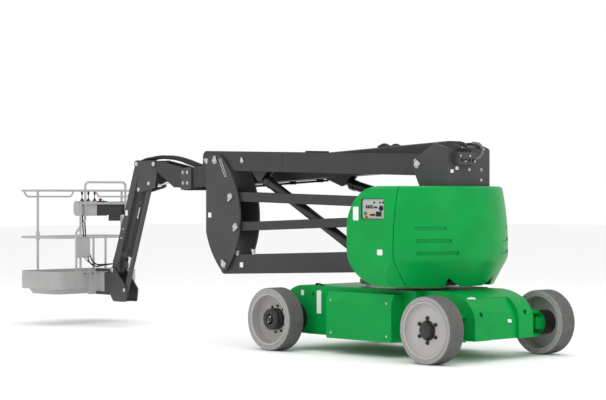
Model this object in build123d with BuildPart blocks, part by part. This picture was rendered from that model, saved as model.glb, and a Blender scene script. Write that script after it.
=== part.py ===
from build123d import *
import os
from math import acos, atan2, cos, hypot, pi, radians, sin

# Articulating boom lift, electric, about 14 m platform height. Millimetres.
# Origin on the ground under the slew axis, +X towards the steered wheels and the
# tail of the turntable, +Y to the machine's left, +Z up. The booms are stowed to -X.

os.makedirs("parts", exist_ok=True)

# ---------------------------------------------------------------- driving sizes
# wheels and axles
TYRE_R = 300.0
TYRE_W = 190.0
TYRE_BEVEL = 11.0
WHEELBASE = 2015.0
OVERALL_W = 1740.0
FRONT_OPENING_R = 253.0
REAR_OPENING_R = 246.0
RIM_WALL = 9.0
RIM_DISC = 12.0
FRONT_DISC_DEPTH = 45.0
REAR_DISC_DEPTH = 118.0
KINGPIN_IN = 135.0
KINGPIN_R = 24.0
YOKE_WALL = 28.0
YOKE_H = 190.0
YOKE_OVER = 70.0
STEER_DISC_R = 112.0
STEER_GAP = 28.0
GEARBOX_R = 112.0

# chassis
CHASSIS_TOP = 618.0
CHASSIS_BOTTOM = 188.0
FRONT_OVERHANG = 178.5
NOSE_HALF_W = 402.0
NOSE_RECESS_HALF_W = 200.0
FRONT_HOLE_Y = 304.0
FRONT_HOLE_DROP = 198.0
FRONT_HOLE_DEPTH = 90.0
NOSE_RECESS = 26.0
NOSE_COVER = 145.0
REAR_OVERHANG = 207.5
REAR_HALF_W = 500.0
REAR_BOTTOM = 157.0
FLANGE = 26.0
FLANGE_BACK = 167.5
BODY_BACK = 447.5
BOX_X0 = -430.0
BOX_X1 = 410.0
BOX_OUT = 660.0
BOX_BOTTOM = 147.0
BOX_TOP = 582.0
BOX_CHAMFER_H = 78.0
BOX_CHAMFER_W = 36.0
TIE_HOLE_R = 22.0
TIE_WALL = 16.0
TIE_HOLE_AHEAD = 237.5
REAR_HOLE_DROP = 88.0

# turntable
SLEW_R = 395.0
COVER_BOTTOM = 652.0
COVER_TOP = 1566.0
COVER_HALF_W = 780.0
COVER_FOOT_HALF_W = 690.0
COVER_LOWER_BEND = 905.0
COVER_UPPER_BEND = 1000.0
COVER_BEND_R = 150.0
TAIL_R_BOTTOM = 805.0
TAIL_R = 940.0
TAIL_R_TOP = 884.0
FRONT_FOOT_X = 300.0
FRONT_BELLY_X = -40.0
FRONT_BELLY_Z0 = 1000.0
FRONT_BELLY_Z1 = 1150.0
FRONT_TOP_X = 330.0
COVER_EDGE_R = 40.0
GROOVE_H = 32.0
GROOVE_DEPTH = 16.0
GROOVES = ((1184.0, -43.3, -25.3), (1073.0, -42.6, -22.2), (962.0, -42.3, -17.8))
SEAT_GAP = 0.3
HOOD_SEAM_X = 540.0
SEAM_GAP = 6.0
HOOD_SKIN = 8.0
BULKHEAD = 6.0
HOOD_EDGE = 18.0
HINGE_R = 6.0
HINGE_WALL = 4.0
HINGE_DROP = 30.0
HINGE_W = 55.0
HINGE_X = (345.0, 450.0)
POWER_X0 = 190.0
POWER_X1 = 450.0
POWER_OUT = 620.0
POWER_H = 390.0
POWER_FOOT_OUT = 450.0
POWER_BELLY_H = 60.0
CONTROL_X0 = 150.0
CONTROL_X1 = 427.0
CONTROL_Z0 = 1269.0
CONTROL_Z1 = 1447.0
CONTROL_OUT = 766.0
CONTROL_D = 110.0
BAY_HALF_W = 312.0
BASE_TOP = 690.0
BASE_RIM = 60.0
BASE_STEP = 120.0
BASE_FRONT_X = -90.0
TAIL_FACE_X = 792.0
BASE_BACK_X = 600.0

# riser linkage bay, between its two plates
PLATE = 20.0
BAY_Y0 = -290.0
BAY_Y1 = -10.0
SIDE_GAP = 10.0
TIE_BAR = 50.0
PIN_R = 27.0
PIN_FIT = 0.5
PIN_PROUD = 14.0
ARM_H = 197.0
LOWER_TIE_H = 88.0
UPPER_TIE_H = 95.0

# pin centres of the riser linkage at rest, as (x, z)
LOWER_ARM_PIN = (280.0, 872.0)
LOWER_TIE_PIN = (460.0, 1262.0)
KNUCKLE_LOW = (-2315.0, 772.0)
KNUCKLE_TOP = (-2456.0, 1838.0)
UPPER_TIE_DROP = (238.0, -369.0)
HEAD_ARM_PIN = (384.0, 1764.0)
LIFT_BASE_PIN = (-330.0, 848.0)
LIFT_TOP_PIN = (-1872.0, 1666.0)

# rear head and main boom
HEAD_BACK_X = 762.0
HEAD_TOP = 1955.0
HEAD_HALF_W = 290.0
HEAD_BACK_TOP = 1905.0
VALVE_Y = -95.0
VALVE_Z = 1816.0
VALVE_W = 240.0
VALVE_H = 116.0
VALVE_D = 68.0
BOOM_Y = 140.0
BOOM_PIN = (640.0, 1897.0)
BOOM_DROP = 2.9
BOOM_AXIS_DROP = 27.0
OUTER_H = 251.0
OUTER_W = 210.0
OUTER_WALL = 7.0
OUTER_START = 170.0
OUTER_END = 3530.0
MOUTH = 70.0
INNER_H = 224.0
INNER_W = 183.0
INNER_WALL = 7.0
INNER_START = 560.0
INNER_END = 4066.0
TELESCOPE = 1900.0
BOOM_LUG_PIN = (-975.0, 1608.0)
BOOM_BASE_PIN = (462.0, 1278.0)

# nose, jib and platform carrier
NOSE_PIN = (-3852.0, 1824.0)
LEVEL_PIN = (-3900.0, 1598.0)
LEVEL_BASE_PIN = (-3150.0, 1715.0)
JIB_TOP_PIN = (-4190.0, 1830.0)
LINK_TOP_PIN = (-3970.0, 1612.0)
JIB_VECTOR = (-430.0, -1195.0)
JIB_CYL_TOP_PIN = (-4150.0, 1545.0)
JIB_CYL_LOW_PIN = (-4470.0, 690.0)
JIB_CYL_Y = 26.0
JIB_TUBE_R = 34.0
JIB_LUG_IN = 22.0
JIB_PLATE = 14.0
JIB_PLATE_OUT = 86.0
JIB_PIN_PROUD = 2.0
JIB_BEAM_H = 96.0
JIB_BEAM_W = 120.0
LINK_H = 52.0
LINK_T = 30.0
LINK_Y = -70.0
JIB_PIN_R = 16.0

# platform
ROTATOR_X = -4745.0
ROTATOR_R = 50.0
ROTATOR_Z0 = 378.0
ROTATOR_Z1 = 612.0
ROTATOR_ARM = 30.0
FOOT_BOTTOM = 282.0
PANEL_W = 280.0
PANEL_T = 14.0
DECK_W = 1245.0
DECK_INBOARD_X = -5005.0
DECK_OUTBOARD_X = -5722.0
DECK_Z = 432.0
DECK_T = 18.0
DECK_CORNER_R = 150.0
TREAD_T = 2.0
TREAD_GAP = 14.0
PAN_INSET = 65.0
PAN_H = 62.0
TOE_H = 182.0
TOE_T = 4.0
RAIL_R = 12.5
POST_R = 14.0
RAIL_CORNER_R = 90.0
RAIL_TOP = 1548.0
RAIL_MID = 1000.0
ENTRY_X = -5337.0
ENTRY_Y = -185.0
SLEEVE_WALL = 8.0
SLEEVE_H = 90.0
HOOP_TOP = 1645.0
HOOP_Y = (-26.0, 555.0)
HOOP_FOOT_Y = -152.0
HOOP_R = 13.0
HOOP_BEND_Z = (1200.0, 1060.0)
HAND_DROP = 70.0
HAND_OUTBOARD_Y = (-404.0, 318.0)
HAND_INBOARD_Y = (116.0, 640.0)
LOW_POST_Y = (-93.0, 92.0, 265.0)
CONSOLE_Y = (-100.0, 298.0)
CONSOLE_Z = (1245.0, 1415.0)
CONSOLE_D = 110.0
CONSOLE_RAIL_Z = 1387.0
MODULE_Y1 = 556.0
PLATE_Z0 = 767.0

# ------------------------------------------------------------- worked-out sizes
AXLE_X = WHEELBASE / 2
NOSE_X = AXLE_X + FRONT_OVERHANG
REAR_X = -AXLE_X - REAR_OVERHANG
BODY_FRONT_X = AXLE_X - BODY_BACK
FLANGE_X0 = FLANGE_BACK - AXLE_X
TIE_HOLE_X = TIE_HOLE_AHEAD - AXLE_X
HINGE_Y = BAY_HALF_W + HOOD_EDGE - 12
HINGE_Z = COVER_TOP - HINGE_R - HINGE_WALL
WHEEL_FACE = OVERALL_W / 2
WHEEL_BACK = WHEEL_FACE - TYRE_W
KINGPIN_OUT = WHEEL_BACK - KINGPIN_IN
KNUCKLE_LOW_TIE = (
    KNUCKLE_LOW[0] + LOWER_TIE_PIN[0] - LOWER_ARM_PIN[0],
    KNUCKLE_LOW[1] + LOWER_TIE_PIN[1] - LOWER_ARM_PIN[1],
)
KNUCKLE_UP_TIE = (KNUCKLE_TOP[0] + UPPER_TIE_DROP[0], KNUCKLE_TOP[1] + UPPER_TIE_DROP[1])
HEAD_TIE_PIN = (HEAD_ARM_PIN[0] + UPPER_TIE_DROP[0], HEAD_ARM_PIN[1] + UPPER_TIE_DROP[1])
JIB_LOW_PIN = (JIB_TOP_PIN[0] + JIB_VECTOR[0], JIB_TOP_PIN[1] + JIB_VECTOR[1])
LINK_LOW_PIN = (LINK_TOP_PIN[0] + JIB_VECTOR[0], LINK_TOP_PIN[1] + JIB_VECTOR[1])
ARM_Y0 = BAY_Y0 + PLATE + SIDE_GAP
ARM_Y1 = BAY_Y1 - PLATE - SIDE_GAP
RISER_Y = (ARM_Y0 + ARM_Y1) / 2
BOOM_DIR = (-cos(radians(BOOM_DROP)), -sin(radians(BOOM_DROP)))
RAIL_X0 = DECK_OUTBOARD_X + TOE_T + POST_R + 1
RAIL_X1 = DECK_INBOARD_X - TOE_T - POST_R - 1
RAIL_Y0 = BOOM_Y - DECK_W / 2 + TOE_T + POST_R + 1
RAIL_Y1 = BOOM_Y + DECK_W / 2 - TOE_T - POST_R - 1


# --------------------------------------------------------------------- helpers
def side(y):
    """Drawing plane at this y with x forward and z up."""
    return Plane.XZ.offset(-y)


def run(start, end, y=0.0):
    """Drawing plane at this y whose x axis runs from one (x, z) point to another."""
    step = (end[0] - start[0], 0, end[1] - start[1])
    return Plane(origin=(start[0], y, start[1]), x_dir=step, z_dir=(0, 1, 0))


def span(start, end):
    """Distance between two (x, z) points."""
    return hypot(end[0] - start[0], end[1] - start[1])


def tangent_angle(first, second):
    """Angle of the outward normal of the outer tangent from one circle to the next."""
    dx, dz = second[0] - first[0], second[1] - first[1]
    return atan2(dz, dx) - acos((first[2] - second[2]) / hypot(dx, dz))


def wrap(rounds):
    """Outline stretched round circles given as (x, z, radius), like a belt."""
    mid_x = sum(c[0] for c in rounds) / len(rounds)
    mid_z = sum(c[1] for c in rounds) / len(rounds)
    ring = sorted(rounds, key=lambda c: atan2(c[1] - mid_z, c[0] - mid_x))
    while True:
        turns = []
        for i, circle in enumerate(ring):
            arrive = tangent_angle(ring[i - 1], circle)
            leave = tangent_angle(circle, ring[(i + 1) % len(ring)])
            turns.append((arrive, (leave - arrive) % (2 * pi)))
        inside = [i for i, (_, turn) in enumerate(turns) if turn > pi + 1e-9]
        if not inside or len(ring) == 2:
            break
        del ring[inside[0]]
    with BuildLine() as belt:
        for i, (x, z, r) in enumerate(ring):
            arrive, turn = turns[i]
            corners = [
                (x + r * cos(arrive + turn * part), z + r * sin(arrive + turn * part))
                for part in (0, 0.5, 1)
            ]
            ThreePointArc(*corners)
            nx, nz, nr = ring[(i + 1) % len(ring)]
            leave = arrive + turn
            Line(corners[2], (nx + nr * cos(leave), nz + nr * sin(leave)))
    make_face(belt.edges())


def plate(y0, y1, rounds):
    """Flat plate from y0 to y1 wrapped round circles given as (x, z, radius)."""
    with BuildSketch(side(y1)) as outline:
        wrap(rounds)
    extrude(outline.sketch, amount=y1 - y0)


def pin(centre, r, y0, y1, mode=Mode.ADD):
    """Round bar, or bore, along y at an (x, z) point."""
    with BuildSketch(side(y1)) as outline:
        with Locations(centre):
            Circle(r)
    extrude(outline.sketch, amount=y1 - y0, mode=mode)


def tube(points, r, bend, closed=False):
    """Round tube along straight runs joined by bends of one radius."""
    with BuildLine() as route:
        if len(points) > 2:
            FilletPolyline(*points, radius=bend, close=closed)
        else:
            Line(*points)
    path = route.wires()[0]
    with BuildSketch(Plane(origin=path @ 0, z_dir=path % 0)) as ring:
        Circle(r)
    sweep(ring.sketch, path=path)


def save(piece, label):
    """Label a finished piece and write its STEP file."""
    piece.part.label = label
    export_step(piece.part, f"parts/{label}.step")


def barrel(base, tip, y, tube_r, rod_r, length, eye_r, eye_w, floor, pin_r):
    """Cylinder barrel from its base eye towards the tip, with a bore for the rod."""
    with BuildPart() as body:
        axis = Plane(
            origin=(base[0], y, base[1]), z_dir=(tip[0] - base[0], 0, tip[1] - base[1]), x_dir=(0, 1, 0)
        )
        with BuildSketch(axis.offset(eye_r * 0.6)):
            Circle(tube_r)
        extrude(amount=length - eye_r * 0.6)
        with BuildSketch(axis.offset(length - 60)):
            Circle(tube_r + 5)
        extrude(amount=60)
        pin(base, eye_r, y - eye_w / 2, y + eye_w / 2)
        with BuildSketch(axis.offset(floor)):
            Circle(rod_r + PIN_FIT)
        extrude(amount=length - floor, mode=Mode.SUBTRACT)
        pin(base, pin_r + PIN_FIT, y - eye_w / 2, y + eye_w / 2, Mode.SUBTRACT)
    return body


def rod(base, tip, y, rod_r, start, eye_r, eye_w):
    """Cylinder rod from a start distance beyond the base pin to its eye at the tip."""
    with BuildPart() as body:
        axis = Plane(
            origin=(base[0], y, base[1]), z_dir=(tip[0] - base[0], 0, tip[1] - base[1]), x_dir=(0, 1, 0)
        )
        with BuildSketch(axis.offset(start)):
            Circle(rod_r)
        extrude(amount=span(base, tip) - start - eye_r * 0.5)
        pin(tip, eye_r, y - eye_w / 2, y + eye_w / 2)
    return body


# --------------------------------------------------------------------- chassis
# One welded frame: rear body with flanged side plates, waist between the battery
# boxes, and a narrow nose that carries the steering yokes.
REAR_ROUND = 330.0
with BuildPart() as frame:
    with BuildSketch(side(REAR_HALF_W)) as rear_profile:
        with BuildLine():
            Polyline(
                (REAR_X, REAR_BOTTOM + 120),
                (REAR_X + 120, REAR_BOTTOM),
                (BODY_FRONT_X, REAR_BOTTOM),
                (BODY_FRONT_X, CHASSIS_TOP),
                (REAR_X + REAR_ROUND, CHASSIS_TOP),
            )
            RadiusArc(
                (REAR_X + REAR_ROUND, CHASSIS_TOP),
                (REAR_X, CHASSIS_TOP - REAR_ROUND * 0.62),
                -REAR_ROUND,
            )
            Line((REAR_X, CHASSIS_TOP - REAR_ROUND * 0.62), (REAR_X, REAR_BOTTOM + 120))
        make_face()
    extrude(amount=2 * REAR_HALF_W)
    for hand in (1, -1):
        with BuildSketch(side(hand * REAR_HALF_W + (FLANGE if hand > 0 else 0))):
            with Locations(((FLANGE_X0 + BOX_X0) / 2, REAR_BOTTOM + 7)):
                Rectangle(BOX_X0 - FLANGE_X0, 14)
        extrude(amount=FLANGE)
    with BuildSketch(side(NOSE_HALF_W)):
        with BuildLine():
            Polyline(
                (BODY_FRONT_X, CHASSIS_TOP),
                (BODY_FRONT_X, CHASSIS_BOTTOM),
                (NOSE_X - NOSE_COVER, CHASSIS_BOTTOM),
                (NOSE_X - NOSE_COVER, CHASSIS_TOP - 58),
            )
            ThreePointArc(
                (NOSE_X - NOSE_COVER, CHASSIS_TOP - 58),
                (NOSE_X - NOSE_COVER - 112, CHASSIS_TOP - 17),
                (NOSE_X - NOSE_COVER - 285, CHASSIS_TOP),
            )
            Line((NOSE_X - NOSE_COVER - 285, CHASSIS_TOP), (BODY_FRONT_X, CHASSIS_TOP))
        make_face()
    extrude(amount=2 * NOSE_HALF_W)
    for y in (REAR_HALF_W, TIE_WALL - REAR_HALF_W):
        with BuildSketch(side(y)):
            with Locations((TIE_HOLE_X, CHASSIS_TOP - REAR_HOLE_DROP)):
                Circle(TIE_HOLE_R)
        extrude(amount=TIE_WALL, mode=Mode.SUBTRACT)
    for hand in (1, -1):
        with BuildSketch(Plane.XY.offset(TYRE_R - YOKE_H / 2 - YOKE_WALL)):
            with Locations((AXLE_X, hand * (NOSE_HALF_W + KINGPIN_OUT + YOKE_OVER) / 2)):
                Rectangle(150, KINGPIN_OUT + YOKE_OVER - NOSE_HALF_W)
        extrude(amount=YOKE_WALL)
        with BuildSketch(Plane.XY.offset(TYRE_R + YOKE_H / 2)):
            with Locations((AXLE_X, hand * (NOSE_HALF_W + KINGPIN_OUT + YOKE_OVER) / 2)):
                Rectangle(150, KINGPIN_OUT + YOKE_OVER - NOSE_HALF_W)
        extrude(amount=YOKE_WALL)
        with BuildSketch(Plane.XY.offset(TYRE_R - YOKE_H / 2 - YOKE_WALL)):
            with Locations((AXLE_X, hand * KINGPIN_OUT)):
                Circle(KINGPIN_R)
        extrude(amount=YOKE_H + 2 * YOKE_WALL)
save(frame, "chassis_frame")

# front cover: two rounded cheeks and the recessed slope between them
with BuildPart() as front_cover:
    with BuildSketch(side(NOSE_HALF_W)):
        with BuildLine():
            Polyline(
                (NOSE_X - NOSE_COVER, CHASSIS_TOP - 58),
                (NOSE_X - NOSE_COVER, CHASSIS_BOTTOM),
                (NOSE_X, CHASSIS_BOTTOM),
                (NOSE_X, CHASSIS_TOP - 285),
            )
            ThreePointArc(
                (NOSE_X, CHASSIS_TOP - 285),
                (NOSE_X - 21, CHASSIS_TOP - 178),
                (NOSE_X - NOSE_COVER, CHASSIS_TOP - 58),
            )
        make_face()
    extrude(amount=2 * NOSE_HALF_W)
    with BuildSketch(side(NOSE_RECESS_HALF_W)):
        with BuildLine():
            Polyline(
                (NOSE_X + 10, CHASSIS_BOTTOM - 10),
                (NOSE_X + 10, CHASSIS_TOP),
                (NOSE_X - NOSE_COVER, CHASSIS_TOP),
                (NOSE_X - NOSE_COVER, CHASSIS_TOP - 66),
                (NOSE_X - NOSE_RECESS - 28, CHASSIS_TOP - 185),
                (NOSE_X - NOSE_RECESS, CHASSIS_TOP - 275),
                (NOSE_X - NOSE_RECESS, CHASSIS_BOTTOM - 10),
                close=True,
            )
        make_face()
    extrude(amount=2 * NOSE_RECESS_HALF_W, mode=Mode.SUBTRACT)
    for hand in (1, -1):
        with BuildSketch(Plane.YZ.offset(NOSE_X)):
            with Locations((hand * FRONT_HOLE_Y, CHASSIS_TOP - FRONT_HOLE_DROP)):
                Circle(TIE_HOLE_R)
        extrude(amount=-FRONT_HOLE_DEPTH, mode=Mode.SUBTRACT)
save(front_cover, "front_cover")

# battery boxes, one each side, with a chamfered lid edge
for label, hand in (("battery_box_left", 1), ("battery_box_right", -1)):
    with BuildPart() as box:
        with BuildSketch(Plane.YZ.offset(BOX_X0)):
            with BuildLine():
                Polyline(
                    (hand * REAR_HALF_W, BOX_BOTTOM),
                    (hand * BOX_OUT, BOX_BOTTOM),
                    (hand * BOX_OUT, BOX_TOP - BOX_CHAMFER_H),
                    (hand * (BOX_OUT - BOX_CHAMFER_W), BOX_TOP),
                    (hand * REAR_HALF_W, BOX_TOP),
                    close=True,
                )
            make_face()
        extrude(amount=BOX_X1 - BOX_X0)
    save(box, label)

# slew bearing and its gear skirt
with BuildPart() as slew_ring:
    with BuildSketch(Plane.XY.offset(CHASSIS_TOP)):
        Circle(SLEW_R)
        Circle(SLEW_R - 90, mode=Mode.SUBTRACT)
    extrude(amount=COVER_BOTTOM - CHASSIS_TOP - SEAT_GAP)
save(slew_ring, "slew_ring")

# drive gearboxes behind the rear wheels
with BuildPart() as gearboxes:
    for hand in (1, -1):
        with BuildSketch(Plane(origin=(-AXLE_X, hand * REAR_HALF_W, TYRE_R), z_dir=(0, hand, 0))):
            Circle(150)
        extrude(amount=45)
        with BuildSketch(Plane(origin=(-AXLE_X, hand * (REAR_HALF_W + 45), TYRE_R), z_dir=(0, hand, 0))):
            Circle(GEARBOX_R)
        extrude(amount=WHEEL_BACK - REAR_HALF_W - 45 + 14)
save(gearboxes, "drive_gearboxes")


# ---------------------------------------------------------------------- wheels
def wheel_plane(x, hand):
    """Plane at the wheel's inner face with z pointing out of the machine."""
    return Plane(origin=(x, hand * WHEEL_BACK, TYRE_R), x_dir=(1, 0, 0), z_dir=(0, hand, 0))


def tyre(x, hand, opening):
    """Solid tyre with bevelled shoulders."""
    base = wheel_plane(x, hand)
    half = Plane(origin=base.origin, x_dir=(1, 0, 0), z_dir=base.x_dir.cross(base.z_dir))
    with BuildPart() as body:
        with BuildSketch(half):
            with BuildLine():
                Polyline(
                    (opening, 0),
                    (TYRE_R - TYRE_BEVEL, 0),
                    (TYRE_R, TYRE_BEVEL),
                    (TYRE_R, TYRE_W - TYRE_BEVEL),
                    (TYRE_R - TYRE_BEVEL, TYRE_W),
                    (opening, TYRE_W),
                    close=True,
                )
            make_face()
        revolve(axis=Axis(base.origin, base.z_dir))
    return body


def rim(x, hand, opening, depth, hub_bore):
    """Rim barrel with one disc at this depth below the outer face."""
    base = wheel_plane(x, hand)
    with BuildPart() as body:
        with BuildSketch(base):
            Circle(opening)
            Circle(opening - RIM_WALL, mode=Mode.SUBTRACT)
        extrude(amount=TYRE_W)
        with BuildSketch(base.offset(TYRE_W - depth - RIM_DISC)):
            Circle(opening - RIM_WALL / 2)
            Circle(hub_bore, mode=Mode.SUBTRACT)
        extrude(amount=RIM_DISC)
    return body


FRONT_HUB_R = 84.0
REAR_HUB_R = 102.0
for label, hand in (("left", 1), ("right", -1)):
    save(tyre(AXLE_X, hand, FRONT_OPENING_R), f"tyre_front_{label}")
    save(rim(AXLE_X, hand, FRONT_OPENING_R, FRONT_DISC_DEPTH, FRONT_HUB_R - 20), f"rim_front_{label}")
    with BuildPart() as front_hub:
        face = wheel_plane(AXLE_X, hand)
        with BuildSketch(face.offset(-22)):
            Circle(STEER_DISC_R + 3)
        extrude(amount=22 + TYRE_W - FRONT_DISC_DEPTH - RIM_DISC)
        with BuildSketch(face.offset(TYRE_W - FRONT_DISC_DEPTH - RIM_DISC)):
            Circle(FRONT_HUB_R - 20)
        extrude(amount=RIM_DISC)
        with BuildSketch(face.offset(TYRE_W - FRONT_DISC_DEPTH)):
            Circle(FRONT_HUB_R)
        extrude(amount=38, taper=24)
    save(front_hub, f"hub_front_{label}")
    with BuildPart() as steer:
        with BuildSketch(Plane.XY.offset(TYRE_R - YOKE_H / 2 + 5)):
            with Locations((AXLE_X, hand * KINGPIN_OUT)):
                Circle(KINGPIN_R + 26)
        extrude(amount=YOKE_H - 10)
        with BuildSketch(Plane(origin=(AXLE_X, hand * (KINGPIN_OUT + 20), TYRE_R), z_dir=(0, hand, 0))):
            Rectangle(110, YOKE_H - 30)
        extrude(amount=WHEEL_BACK - STEER_GAP - KINGPIN_OUT - 20)
        with BuildSketch(Plane.XY.offset(TYRE_R - YOKE_H / 2)):
            with Locations((AXLE_X, hand * KINGPIN_OUT)):
                Circle(KINGPIN_R + PIN_FIT)
        extrude(amount=YOKE_H, mode=Mode.SUBTRACT)
        with BuildSketch(Plane(origin=(AXLE_X, hand * (WHEEL_BACK - STEER_GAP), TYRE_R), z_dir=(0, hand, 0))):
            Circle(STEER_DISC_R)
        extrude(amount=5.5)
    save(steer, f"steering_knuckle_{label}")
    save(tyre(-AXLE_X, hand, REAR_OPENING_R), f"tyre_rear_{label}")
    save(rim(-AXLE_X, hand, REAR_OPENING_R, REAR_DISC_DEPTH, REAR_HUB_R), f"rim_rear_{label}")
    with BuildPart() as rear_hub:
        face = wheel_plane(-AXLE_X, hand)
        with BuildSketch(face.offset(14.5)):
            Circle(150)
        extrude(amount=TYRE_W - REAR_DISC_DEPTH - RIM_DISC - 14.5)
        with BuildSketch(face.offset(TYRE_W - REAR_DISC_DEPTH - RIM_DISC)):
            Circle(REAR_HUB_R)
        extrude(amount=REAR_DISC_DEPTH + RIM_DISC - 22)
        fillet(rear_hub.faces().filter_by(Axis.Y).sort_by(Axis.Y)[-1 if hand > 0 else 0].edges(), 14)
    save(rear_hub, f"hub_rear_{label}")

# ------------------------------------------------------------------- turntable
# base plate on the slew ring, and two towers that hold the linkage pins
with BuildPart() as turntable:
    with BuildSketch(Plane.XY.offset(COVER_BOTTOM)):
        Circle(SLEW_R + BASE_RIM)
        with Locations((BASE_BACK_X / 2, 0)):
            Rectangle(BASE_BACK_X, 2 * (BAY_HALF_W + BASE_STEP))
    extrude(amount=BASE_TOP - COVER_BOTTOM)
    for y0 in (BAY_Y0, BAY_Y1 - PLATE):
        plate(
            y0,
            y0 + PLATE,
            (
                (BASE_FRONT_X + 40, BASE_TOP + 10, 30),
                (BASE_BACK_X - 40, BASE_TOP + 10, 30),
                (LOWER_ARM_PIN[0], LOWER_ARM_PIN[1], 95),
                (LOWER_TIE_PIN[0], LOWER_TIE_PIN[1], 62),
            ),
        )
    for centre in (LOWER_ARM_PIN, LOWER_TIE_PIN):
        pin(centre, PIN_R, BAY_Y0 - PIN_PROUD, BAY_Y1 + PIN_PROUD)
    for hand in (1, -1):
        with BuildSketch(side(hand * (BAY_HALF_W + BULKHEAD / 2) + BULKHEAD / 2)):
            with BuildLine():
                Polyline(
                    (FRONT_FOOT_X, BASE_TOP),
                    (HOOD_SEAM_X - 10, BASE_TOP),
                    (HOOD_SEAM_X - 10, HINGE_Z - HINGE_DROP),
                    (FRONT_TOP_X - 60, HINGE_Z - HINGE_DROP),
                    (FRONT_BELLY_X + 70, FRONT_BELLY_Z1 + 40),
                    (FRONT_BELLY_X + 70, FRONT_BELLY_Z0 - 40),
                    close=True,
                )
            make_face()
        extrude(amount=BULKHEAD)
        for x in (HINGE_X[0] - 16, HINGE_X[0] + HINGE_W + 6, HINGE_X[1] + HINGE_W + 2):
            with BuildSketch(Plane.YZ.offset(x)):
                with Locations((hand * (BAY_HALF_W + 6.5), HINGE_Z - HINGE_DROP / 2 - 2)):
                    Rectangle(13, HINGE_DROP + 16)
            extrude(amount=8)
        with BuildSketch(Plane.YZ.offset(HINGE_X[0] - 16)):
            with Locations((hand * HINGE_Y, HINGE_Z)):
                Circle(HINGE_R)
        extrude(amount=HINGE_X[1] + HINGE_W + 10 - HINGE_X[0] + 16)
save(turntable, "turntable_base")


def bulge(end, belly):
    """Middle of a quarter round that leaves the belly upright and ends flat."""
    return (
        belly[0] + (end[0] - belly[0]) * (1 - cos(pi / 4)),
        belly[1] + (end[1] - belly[1]) * sin(pi / 4),
    )


def cover_solid(inset=0.0):
    """Turntable cover outline, drawn in by an inset: a tapered drum, flat at both sides."""
    top = COVER_TOP - inset
    half = COVER_HALF_W - inset
    with BuildPart() as shape:
        with BuildSketch(Plane.XZ) as drum:
            with BuildLine():
                Polyline(
                    (TAIL_R_TOP - inset, top),
                    (0, top),
                    (0, COVER_BOTTOM),
                    (TAIL_R_BOTTOM - inset, COVER_BOTTOM),
                    (TAIL_R - inset, COVER_LOWER_BEND),
                    (TAIL_R - inset, COVER_UPPER_BEND),
                )
                ThreePointArc(
                    (TAIL_R - inset, COVER_UPPER_BEND),
                    ((3 * TAIL_R + TAIL_R_TOP) / 4 - inset, (COVER_UPPER_BEND + top) / 2),
                    (TAIL_R_TOP - inset, top),
                )
            make_face()
            outside = drum.vertices().filter_by(lambda v: v.X > TAIL_R_BOTTOM)
            fillet(outside.sort_by(Axis.Y)[0], COVER_BEND_R)
            fillet(drum.vertices().group_by(Axis.Y)[-1].sort_by(Axis.X)[-1], COVER_EDGE_R - inset)
        revolve(axis=Axis.Z)
        with BuildSketch(side(half)):
            with BuildLine():
                foot = (FRONT_FOOT_X + inset, COVER_BOTTOM)
                lower = (FRONT_BELLY_X + inset, FRONT_BELLY_Z0)
                upper = (FRONT_BELLY_X + inset, FRONT_BELLY_Z1)
                brow = (FRONT_TOP_X + inset, top)
                Polyline(brow, (TAIL_R + 20, top), (TAIL_R + 20, COVER_BOTTOM), foot)
                ThreePointArc(foot, bulge(foot, lower), lower)
                Line(lower, upper)
                ThreePointArc(upper, bulge(brow, upper), brow)
            make_face()
        extrude(amount=2 * half, mode=Mode.INTERSECT)
        for hand in (1, -1):
            with BuildSketch(Plane.YZ.offset(FRONT_BELLY_X - 50)):
                with BuildLine():
                    Polyline(
                        (hand * (half + 20), top + 20),
                        (hand * (half - COVER_EDGE_R), top + 20),
                        (hand * (half - COVER_EDGE_R), top),
                    )
                    Polyline(
                        (hand * (half - COVER_EDGE_R), top),
                        (hand * (half - COVER_EDGE_R * 0.55), top - COVER_EDGE_R * 0.11),
                        (hand * (half - COVER_EDGE_R * 0.11), top - COVER_EDGE_R * 0.55),
                        (hand * half, top - COVER_EDGE_R),
                    )
                    Polyline(
                        (hand * half, top - COVER_EDGE_R),
                        (hand * (half + 20), top - COVER_EDGE_R),
                        (hand * (half + 20), top + 20),
                    )
                make_face()
                with BuildLine():
                    Polyline(
                        (hand * (half + 20), COVER_LOWER_BEND + 60),
                        (hand * half, COVER_LOWER_BEND + 60),
                    )
                    ThreePointArc(
                        (hand * half, COVER_LOWER_BEND + 60),
                        (hand * (half - 12), COVER_LOWER_BEND - 60),
                        (hand * (COVER_FOOT_HALF_W - inset), COVER_BOTTOM),
                    )
                    Polyline(
                        (hand * (COVER_FOOT_HALF_W - inset), COVER_BOTTOM),
                        (hand * (COVER_FOOT_HALF_W - inset), COVER_BOTTOM - 20),
                        (hand * (half + 20), COVER_BOTTOM - 20),
                        (hand * (half + 20), COVER_LOWER_BEND + 60),
                    )
                make_face()
            extrude(amount=TAIL_R - FRONT_BELLY_X + 100, mode=Mode.SUBTRACT)
    return shape.part


COVER = cover_solid()
COVER_INSIDE = cover_solid(HOOD_SKIN)

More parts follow.
